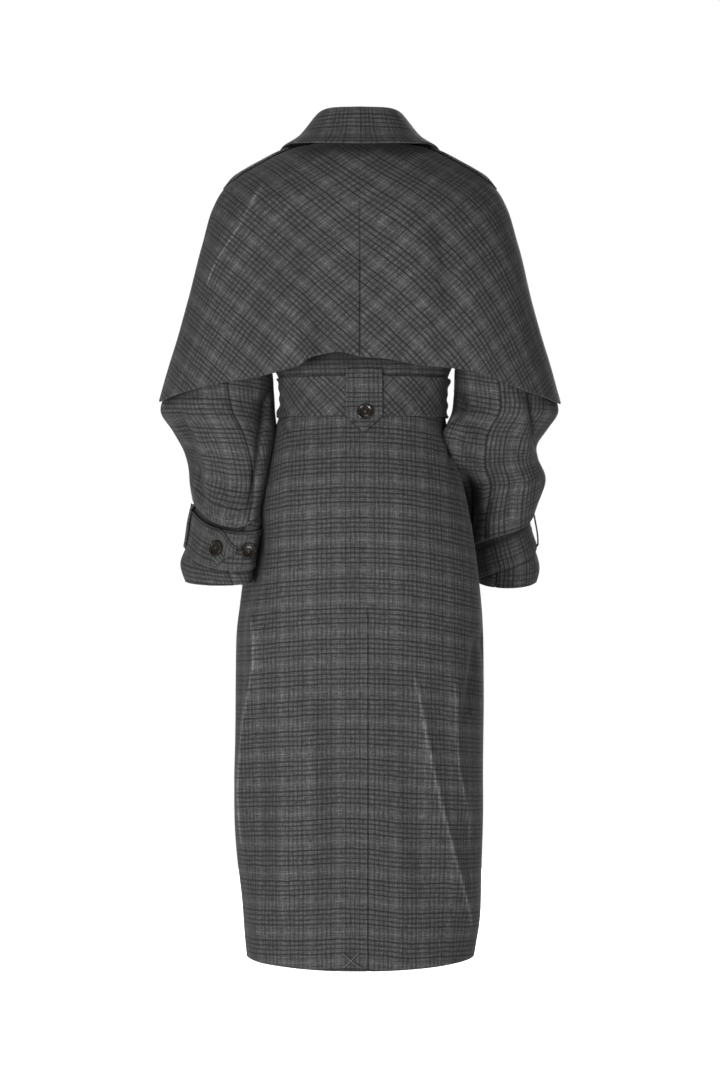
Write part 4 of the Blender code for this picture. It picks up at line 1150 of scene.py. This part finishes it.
def makeSleeve(side):
    part = sleeves[side]
    for kind in ("Upper", "Under"):
        angle, row, above = sleevePlaces(part, kind)
        points = sleeve(part["rows"], angle, row)
        wrapped = angle % (2 * math.pi)
        if side == "right":
            points = points + pouchShift(wrapped, points[..., 2])
        x, seenZ = seen(points)
        lift, paintedLight = creaseSum(points, part["creases"], x, seenZ)
        behind = smooth(np.sin(wrapped), -0.35, 0.15)
        calm = smooth(above, 2, 26)
        lift = lift * behind * calm
        paintedLight = paintedLight * behind * calm
        cuffLift, cuffCrest = creaseSum(points, part["cuffCreases"], x, seenZ)
        lift = lift + cuffLift * behind
        paintedLight = paintedLight + cuffCrest * behind * paintedShading["cuff"]
        lift = lift + ripple(angle * 70, points[..., 2], 1.3) * calm * smooth(row, 0.25, 1.0)
        u = runLength(points, 1)
        u = u - (u[:, -1:] if kind == "Upper" else u[:, :1])
        lift = lift + seamDip(u, 1.8, 1.7)
        # painted shade along the seam
        paintedLight = paintedLight + band(u, *paintedShading["seam"])
        amount = lipAmount(part, wrapped)
        # a painted highlight on the lip's edge, and painted shadows below the lip and below the strap
        paintedLight = paintedLight + amount * (band(above, *paintedShading["lipEdge"]) + band(above, *paintedShading["lipShadow"]))
        rowZ = sleeves["ovalZ"] + (row - 1) * (sleeves["hemZ"] - sleeves["ovalZ"])
        below = strapMiddle(part["strap"], angle) - straps["half"] - rowZ
        paintedLight = np.maximum(paintedLight + band(below, *paintedShading["strapShadow"]) * smooth(row, 1.0, 1.5), paintedShading["darkest"])
        out = curve(lipRows, 1, above) * amount
        drop = curve(lipRows, 2, above) * amount
        shown = moveOut(points, lift + out, -1)
        shown[..., 2] -= drop
        down = -runLength(points, 0)
        slope = part["slope"] * (1 if kind == "Under" else 0.25)
        flat = np.stack((-u, (down[:, :1] + down[:, -1:]) / 2 + slope * u), -1)
        thick = body["cloth"] + (sleeves["hemThick"] - body["cloth"]) * smooth(row, 1.93, 1.95)
        makeCloth(
            f"{side}{kind}Sleeve", [f"sleeve_{side}_{kind.lower()}"], shown, flat, thick, "hung", facing=-1,
            mirrored=side == "right", grain=part["grain"][kind], shift=(5, 9), paintedLight=paintedLight,
            rests=[f"{side}FrontBodice"],
        )


def strapHeight(turn, start):
    lapStart = start + 2 * math.pi
    ramp = math.radians(straps["ramp"])
    rise = (straps["thick"] + body["layerGap"]) * smooth(turn, lapStart - ramp, lapStart - 0.02)
    around = (np.degrees(turn) + 180) % 360 - 180
    return straps["gap"] + straps["thick"] + rise + band(around, straps["bulge"], 0, straps["bulgeReach"])


def strapStart(side):
    return math.radians(straps["start"] + (straps["rightTurn"] if side == "right" else 0))


def makeStrap(side):
    part = sleeves[side]
    start = strapStart(side)
    share = shares(straps["length"], straps["step"])[None, :]
    turn = start + share * math.radians(straps["turn"])
    half = straps["half"] * (1 - 0.8 * smooth(share, 1 - straps["point"], 1))
    across = (1 - 2 * shares(2 * straps["half"], straps["step"]))[:, None]
    z = strapMiddle(part["strap"], turn) + half * across
    points = sleeve(part["rows"], np.broadcast_to(turn, z.shape), sleeveRow(z))
    shown = moveOut(points, strapHeight(turn, start) + 0 * z, -1)
    # a painted shadow on the strap just under the sleeve's lip
    fromLip = lipTop(part, turn) + part["lipDrop"] - z
    dark = lipAmount(part, turn) * band(fromLip, *paintedShading["underLip"])
    u = runLength(shown, 1)
    v = -runLength(shown, 0)
    flat = np.stack((u[u.shape[0] // 2][None, :] + 0 * v, v), -1)
    makeCloth(f"{side}CuffStrap", [f"cuff_strap_{side}"], shown, flat, straps["thick"], "folded", facing=-1,
              mirrored=side == "right", grain=part["grain"]["Strap"], shift=(10, 14), rests=[f"{side}UpperSleeve"],
              paintedLight=dark)


def makeLoop(side):  # a narrow carrier that holds the strap
    part = sleeves[side]
    share = shares(62, 1.6, (0, 0.6, 1.4))[:, None]
    turn = math.radians(part["loopTurn"])
    middle = strapMiddle(part["strap"], turn)
    turn = turn + straps["loopHalf"] / 52 * (2 * shares(8, 1.2, (0, 0.5, 1.2)) - 1)[None, :]
    z = middle + straps["half"] + 9 - share * (2 * straps["half"] + 12) + 0 * turn
    points = sleeve(part["rows"], turn + 0 * z, sleeveRow(z))
    lift = straps["gap"] + straps["thick"] * 2 + 0.6 + part["loopBow"] * np.sin(math.pi * share) + 0 * z
    lift = lift * smooth(share, -0.02, 0.1) * smooth(share, 1.02, 0.94)
    shown = moveOut(points, lift, -1)
    flat = np.stack((runLength(shown, 1), -runLength(shown, 0)), -1)
    piece = makeCloth(
        f"{side}StrapLoop", [], shown, flat, straps["loopThick"], "folded", facing=-1, mirrored=side == "right"
    )
    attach(piece, "root")


epaulettes = {"half": 19, "topZ": -3, "lowZ": -55, "point": 0.2, "gap": 1.4, "thick": 3.0, "step": 2.6}


def makeEpaulettes():
    share = shares(130, epaulettes["step"])[:, None]
    row = epaulettes["topZ"] + share * (epaulettes["lowZ"] - epaulettes["topZ"])
    half = epaulettes["half"] * (1 - 0.6 * smooth(share, 1 - epaulettes["point"], 1))
    square = curve(capeRows, 5, row)
    low = np.arcsin((half / curve(capeRows, 3, row)) ** (square / 2))
    high = np.arcsin((half / curve(capeRows, 4, row)) ** (square / 2))
    across = shares(38, epaulettes["step"])[None, :]
    turn = math.pi / 2 - low + (low + high) * across
    points = cape(turn, row)
    thin = 1 - 0.62 * smooth(share, 0.7, 1) + 0 * turn
    thick = epaulettes["thick"] * thin
    points = moveOut(points, epaulettes["gap"] * thin + thick)
    flat = np.stack((runLength(points, 1), -runLength(points, 0)), -1)
    for side in ("left", "right"):
        makeCloth(
            f"{side}Epaulette", [f"epaulette_{side}"], points, flat, thick, "laid", mirrored=side == "right",
            rests=[f"{side}Cape"],
        )


belts = {"topZ": -328, "lowZ": -383, "length": 790, "thick": 2.4, "lap": 205, "point": 0.04, "ramp": 24, "step": 2.8}


def beltHeight(turn):
    lapStart = math.radians(360 - belts["lap"])
    over = smooth(-turn, lapStart - math.radians(belts["ramp"]), lapStart - 0.02)
    return (body["layerGap"] + belts["thick"]) * (1 + over)


def makeBelt():
    share = shares(belts["length"], belts["step"])[None, :]
    turn = math.radians(belts["lap"]) * (2 * share - 1)
    half = (belts["topZ"] - belts["lowZ"]) / 2 * (1 - 0.7 * smooth(share, belts["point"], 0))
    middle = (belts["topZ"] + belts["lowZ"]) / 2
    z = middle + half * (1 - 2 * shares(belts["topZ"] - belts["lowZ"], belts["step"]))[:, None]
    points = torso(np.broadcast_to(turn, z.shape), z)
    # the belt is drawn tight and buckles at the sides
    side = band(np.abs(turn), 1, math.radians(84), 0.30)
    buckle = np.sin(z * 0.36 + turn * 3.0) + 0.6 * np.sin(z * 0.21 - turn * 5.0 + 1)
    lift = beltHeight(turn) + side * (0.9 + 1.0 * buckle)
    shown = moveOut(points, lift)
    u = runLength(points, 1)
    u = u - u[:, u.shape[1] // 2][:, None]
    flat = np.stack((-u, z + 0 * u), -1)
    makeCloth("beltCloth", ["belt"], shown, flat, belts["thick"], "stretched", grain=45, shift=(6, 0),
              rests=["backBodice"])


# Belt tab from top to point: height, clearance off the coat, half width.
tabRows = (
    (-317, 0.6, 24), (-322, 3.2, 24), (-327, 4.2, 24), (-356, 4.2, 24.5), (-383, 4.2, 24.5), (-389, 3.0, 21),
    (-406, 1.0, 2),
)
tabs = {"x": -6, "width": 48, "thick": 2.0, "step": 1.6, "stitchIn": 4.0, "groove": -0.5}


def makeTab():
    z = even(tabRows[0][0], tabRows[-1][0], tabs["step"])[:, None]
    half = np.interp(-z, [-r[0] for r in tabRows], [r[2] for r in tabRows])
    across = (2 * shares(tabs["width"], tabs["step"]) - 1)[None, :]
    x = tabs["x"] + half * across
    points = torso(torsoTurn(z, x, True), np.broadcast_to(z, x.shape))
    inside = np.minimum(half - np.abs(x - tabs["x"]), (z - tabRows[-1][0]) * 0.72)
    groove = band(inside, tabs["groove"], tabs["stitchIn"], 0.9)
    lift = curve(tabRows, 1, z) + tabs["thick"] + groove
    shown = moveOut(points, lift)
    flat = np.stack((-(x + 0 * z), z + 0 * x), -1)
    makeCloth("beltTab", ["belt_tab"], shown, flat, tabs["thick"], "laid", shift=(-2, 5), rests=["beltCloth"])


def raised(surface, a, b, out, stepB):  # points of a surface moved out along its normal
    a, b, out = np.broadcast_arrays(np.asarray(a, float), np.asarray(b, float), out)
    across = surface(a + 0.004, b) - surface(a - 0.004, b)
    along = surface(a, b + stepB) - surface(a, b - stepB)
    normal = -np.cross(across, along)
    normal = normal / np.linalg.norm(normal, axis=-1, keepdims=True)
    return surface(a, b) + normal * out[..., None], normal


def onTorso(x, z, out, behind=True):
    z = np.asarray(z, float)
    return raised(torso, torsoTurn(z, np.asarray(x, float), behind), z, out, 0.5)


def onCuff(side, turn, z, out):
    def surface(a, b):
        return sleeve(sleeves[side]["rows"], a, b)

    places, normal = raised(surface, turn, sleeveRow(z), out, 0.002)
    flip = np.array((-1 if side == "right" else 1, 1, 1))
    return places * flip, normal * flip


# Buttons: turned dark horn with a raised rim, a dished face and four holes.
buttons = {
    "radius": 11.3,
    "thick": 3.6,
    "profile": (
        (0.78, 0.0), (0.95, 0.2), (1.0, 0.45), (0.99, 0.78), (0.94, 0.96), (0.88, 1.0), (0.81, 0.95), (0.72, 0.82),
        (0.6, 0.70), (0.45, 0.62), (0.25, 0.57),
    ),
    "middle": 0.55,
    "sides": 48,
    "holeOut": 2.4,
    "holeRadius": 1.0,
    "clear": 0.4,
    "beltClear": 1.3,
    "tab": (-7, -380),
    "beltEnd": -178,
    "cuffLap": 90 + 360,
    "cuffBand": 143,
    "dark": (0.004, 0.0035, 0.003, 1),
    "streak": (0.040, 0.028, 0.018, 1),
}


def makeHorn():
    material, tree, shader = newMaterial("darkHorn")
    place = addNode(tree, "ShaderNodeTexCoord").outputs["Object"]
    stretched = addNode(tree, "ShaderNodeMapping", {"Vector": place, "Scale": (900, 900, 240)})
    grain = addNode(tree, "ShaderNodeTexNoise", {"Vector": stretched.outputs[0], "Scale": 1.0, "Detail": 3.0})
    ramp = addNode(tree, "ShaderNodeValToRGB", {"Fac": grain.outputs["Fac"]})
    for element, position, colour in zip(ramp.color_ramp.elements, (0.45, 0.75), (buttons["dark"], buttons["streak"])):
        element.position = position
        element.color = colour
    tree.links.new(ramp.outputs["Color"], shader.inputs["Base Color"])
    shader.inputs["Roughness"].default_value = 0.2
    shader.inputs["IOR"].default_value = 1.5
    shader.inputs["Specular IOR Level"].default_value = 0.4
    return material


def evaluated(piece, name):  # the finished mesh of a piece with modifiers, which is then removed
    bpy.context.view_layer.update()
    shape = piece.evaluated_get(bpy.context.evaluated_depsgraph_get())
    mesh = bpy.data.meshes.new_from_object(shape)
    mesh.name = name
    bpy.data.objects.remove(piece)
    return mesh


def ring(radius, height, count, middle=(0, 0)):
    turn = np.arange(count) * 2 * math.pi / count
    return [(middle[0] + radius * math.cos(t), middle[1] + radius * math.sin(t), height) for t in turn]


def latheFaces(rings, count, start):
    faces = []
    for k in range(rings - 1):
        for j in range(count):
            after = (j + 1) % count
            a, b = start + k * count, start + (k + 1) * count
            faces.append((a + j, a + after, b + after, b + j))
    return faces


def buttonShape():
    count = buttons["sides"]
    verts = []
    for r, h in buttons["profile"]:
        verts += ring(r * buttons["radius"], h * buttons["thick"], count)
    rings = len(buttons["profile"])
    faces = latheFaces(rings, count, 0)
    verts += [(0, 0, 0), (0, 0, buttons["middle"] * buttons["thick"])]
    last = (rings - 1) * count
    for j in range(count):
        after = (j + 1) % count
        faces.append((after, j, rings * count))
        faces.append((last + j, last + after, rings * count + 1))
    disc = meshObject("buttonBlank", verts, faces)
    verts = []
    faces = []
    for quarter in range(4):
        turn = quarter * math.pi / 2
        middle = (buttons["holeOut"] * math.cos(turn), buttons["holeOut"] * math.sin(turn))
        start = len(verts)
        verts += ring(buttons["holeRadius"], -1, 12, middle) + ring(buttons["holeRadius"], 5, 12, middle)
        faces += latheFaces(2, 12, start)
        faces.append(tuple(range(start + 11, start - 1, -1)))
        faces.append(tuple(range(start + 12, start + 24)))
    drill = meshObject("buttonDrill", verts, faces)
    cut = disc.modifiers.new("holes", "BOOLEAN")
    cut.operation = "DIFFERENCE"
    cut.solver = "EXACT"
    cut.object = drill
    shape = evaluated(disc, "buttonShape")
    bpy.data.objects.remove(drill)
    return shape


def buttonPlaces():
    places = []
    x, z = buttons["tab"]
    out = curve(tabRows, 1, z) + tabs["thick"] + buttons["clear"]
    places.append(("tabButton", "button_belt_tab", *onTorso(x, z, out)))
    turn = math.radians(buttons["beltEnd"])
    z = (belts["topZ"] + belts["lowZ"]) / 2
    out = beltHeight(turn) + buttons["beltClear"]
    places.append(("beltEndButton", "button_belt_end", *raised(torso, turn, z, out, 0.5)))
    for side in ("left", "right"):
        start = strapStart(side)
        for kind, angle in (("Lap", buttons["cuffLap"]), ("Band", buttons["cuffBand"])):
            turn = start + math.radians(angle - straps["start"])
            z = strapMiddle(sleeves[side]["strap"], turn)
            out = strapHeight(turn, start) + buttons["clear"]
            place, normal = onCuff(side, turn, z, out)
            places.append((f"{side}Cuff{kind}Button", f"button_cuff_{side}_{kind.lower()}", place, normal))
    return places


def makeButtons():
    material = makeHorn()
    shape = buttonShape()
    local = np.array([v.co for v in shape.vertices])
    faces = [tuple(p.vertices) for p in shape.polygons]
    threads = []
    for name, node, place, facing in buttonPlaces():
        right = np.cross((0, 0, 1), facing)
        right = right / np.linalg.norm(right)
        axes = np.stack((right, np.cross(facing, right), facing))
        piece = meshObject(name, ((local @ axes + place) * mm).tolist(), faces)
        piece.data.shade_smooth()
        piece.data.set_sharp_from_angle(angle=math.radians(40))
        piece.data.materials.append(material)
        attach(piece, "root")
        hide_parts(node)
        out = buttons["holeOut"]
        face = buttons["middle"] * buttons["thick"] + 0.3
        for x, y in ((out, 0), (0, out)):
            run = ((1, -1.2), (0.8, 0), (-0.8, 0), (-1, -1.2))
            ends = np.array([(x * share, y * share, face + drop) for share, drop in run])
            threads.append(ends @ axes + place)
    bpy.data.meshes.remove(shape)
    return threads


# Stitches: a bead of thread for each, set along lines on the cloth.
stitches = {
    "top": {"pitch": 3.2, "half": 1.2, "thread": 0.34},
    "tack": {"pitch": 1.2, "half": 1.3, "thread": 1.0},
    "hole": {"pitch": 0.7, "half": 0.5, "thread": 0.5},
    "seed": 4,
    "colour": (0.060, 0.061, 0.063, 1),
    "paler": (0.110, 0.111, 0.113, 1),
    "tackLines": (((22.9, -1169), (13, -1160), (3.2, -1149)), ((24.3, -1149), (12, -1160), (-1.5, -1169.5))),
    "tackY": 119,
    "holeX": -5.8,
    "holeZ": (-360, -368),
    "holeHalf": 1.0,
}


def makeThread():
    material, tree, shader = newMaterial("thread")
    place = addNode(tree, "ShaderNodeTexCoord").outputs["Object"]
    noise = addNode(tree, "ShaderNodeTexNoise", {"Vector": place, "Scale": 700.0})
    tone = mixed(tree, noise.outputs["Fac"], stitches["colour"], stitches["paler"])
    tree.links.new(tone, shader.inputs["Base Color"])
    shader.inputs["Roughness"].default_value = 0.7
    return material


def stitchTree():
    tree = bpy.data.node_groups.new("stitchRun", "GeometryNodeTree")
    sockets = {}
    for label, kind in (
        ("Geometry", "NodeSocketGeometry"), ("Pitch", "NodeSocketFloat"), ("Half Length", "NodeSocketFloat"),
        ("Thread", "NodeSocketFloat"), ("Seed", "NodeSocketInt"), ("Material", "NodeSocketMaterial"),
    ):
        sockets[label] = tree.interface.new_socket(label, in_out="INPUT", socket_type=kind).identifier
    tree.interface.new_socket("Geometry", in_out="OUTPUT", socket_type="NodeSocketGeometry")
    given = addNode(tree, "NodeGroupInput").outputs
    line = addNode(tree, "GeometryNodeMeshToCurve", {"Mesh": given["Geometry"]})
    spaced = {"Curve": line.outputs[0], "Length": given["Pitch"]}
    spaced = addNode(tree, "GeometryNodeResampleCurve", spaced, mode="LENGTH")
    dots = addNode(tree, "GeometryNodeCurveToPoints", {"Curve": spaced.outputs[0]}, mode="EVALUATED")
    bead = addNode(tree, "GeometryNodeMeshUVSphere", {"Segments": 6, "Rings": 5, "Radius": 1.0})
    bead = addNode(tree, "GeometryNodeSetShadeSmooth", {"Geometry": bead.outputs["Mesh"]})
    vary = addNode(tree, "FunctionNodeRandomValue", {2: 0.86, 3: 1.08, "Seed": given["Seed"]}, data_type="FLOAT")
    size = addNode(tree, "ShaderNodeCombineXYZ", {0: given["Thread"], 1: given["Thread"], 2: given["Half Length"]})
    where = {"Points": dots.outputs["Points"], "Rotation": dots.outputs["Rotation"]}
    how = {"Instance": bead.outputs[0], "Scale": scaled(tree, size.outputs[0], vary.outputs[1])}
    run = addNode(tree, "GeometryNodeInstanceOnPoints", {**where, **how})
    real = addNode(tree, "GeometryNodeRealizeInstances", {"Geometry": run.outputs[0]})
    dyed = addNode(tree, "GeometryNodeSetMaterial", {"Geometry": real.outputs[0], "Material": given["Material"]})
    addNode(tree, "NodeGroupOutput", {"Geometry": dyed.outputs[0]})
    return tree, sockets


def sewLines(name, lines, size, tree, sockets, material):
    verts = []
    edges = []
    for line in lines:
        start = len(verts)
        verts += (np.asarray(line) * mm).tolist()
        edges += [(k, k + 1) for k in range(start, len(verts) - 1)]
    guide = meshObject(name + "Guide", verts, [], edges)
    run = guide.modifiers.new("stitches", "NODES")
    run.node_group = tree
    run[sockets["Pitch"]] = size["pitch"] * mm
    run[sockets["Half Length"]] = size["half"] * mm
    run[sockets["Thread"]] = size["thread"] * mm
    run[sockets["Seed"]] = stitches["seed"]
    run[sockets["Material"]] = material
    mesh = evaluated(guide, name)
    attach(addObject(name, mesh), "root")
    print("stitches", name, len(mesh.polygons))


def tabStitch():
    inset = tabs["stitchIn"]
    low = tabRows[4][0] + inset * 0.2
    tip = tabRows[-1][0] + inset * 1.3
    side = np.array([(24.3 - inset, z) for z in even(tabRows[0][0] - 3, low, 3)])
    point = np.array([((24.3 - inset) * (1 - t), low + (tip - low) * t) for t in np.linspace(0, 1, 9)[1:]])
    half = np.concatenate((side, point))
    path = np.concatenate((half, (half * np.array((-1, 1)))[-2::-1]))
    z = path[:, 1]
    return onTorso(tabs["x"] + path[:, 0], z, curve(tabRows, 1, z) + tabs["thick"] + 0.1)[0]


def strapStitches(side):
    start = strapStart(side)
    share = np.linspace(0.012, 0.985, 150)
    turn = start + share * math.radians(straps["turn"])
    half = straps["half"] * (1 - 0.8 * smooth(share, 1 - straps["point"], 1)) - straps["stitchIn"]
    middle = strapMiddle(sleeves[side]["strap"], turn)
    out = strapHeight(turn, start) + 0.1
    return [onCuff(side, turn, middle + sign * half, out)[0] for sign in (1, -1)]


def makeStitches(buttonThreads):
    material = makeThread()
    tree, sockets = stitchTree()
    top = [tabStitch()] + strapStitches("left") + strapStitches("right")
    sewLines("topStitches", top, stitches["top"], tree, sockets, material)
    tack = []
    for line in stitches["tackLines"]:
        t = np.linspace(0, 1, 9)
        x, z = (np.interp(t, (0, 0.5, 1), side) for side in np.array(line).T)
        depth = (camera["distance"] - stitches["tackY"]) / camera["distance"]
        x = x * depth
        z = camera["height"] + (z - camera["height"]) * depth
        arch = 2.2 + 1.2 * np.sin(np.linspace(0, math.pi, 9))
        tack.append(onTorso(x, z, arch)[0])
    sewLines("ventTack", tack, stitches["tack"], tree, sockets, material)
    z = np.linspace(*stitches["holeZ"], 9)
    out = curve(tabRows, 1, z) + tabs["thick"] + 0.2
    hole = [onTorso(stitches["holeX"] + sign * stitches["holeHalf"], z, out)[0] for sign in (-1, 1)]
    sewLines("buttonholeStitches", hole + buttonThreads, stitches["hole"], tree, sockets, material)


makeBodiceBack()
makeBodiceFronts()
makeSkirtBacks()
makeSkirtFronts()
makeCapes()
makeCollar()
makeLapels()
for sleeveSide in ("left", "right"):
    makeSleeve(sleeveSide)
    makeStrap(sleeveSide)
    makeLoop(sleeveSide)
makeEpaulettes()
makeBelt()
makeTab()
print("cloth made", len(sheets))

for piece, nodes, size, area, held, rests in sheets:
    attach(piece, "root")
    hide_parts(*nodes)
    print("sheet", piece.name, flatSizes[piece.name], len(piece.data.polygons) * 2)
makeStitches(makeButtons())
print("trim made")
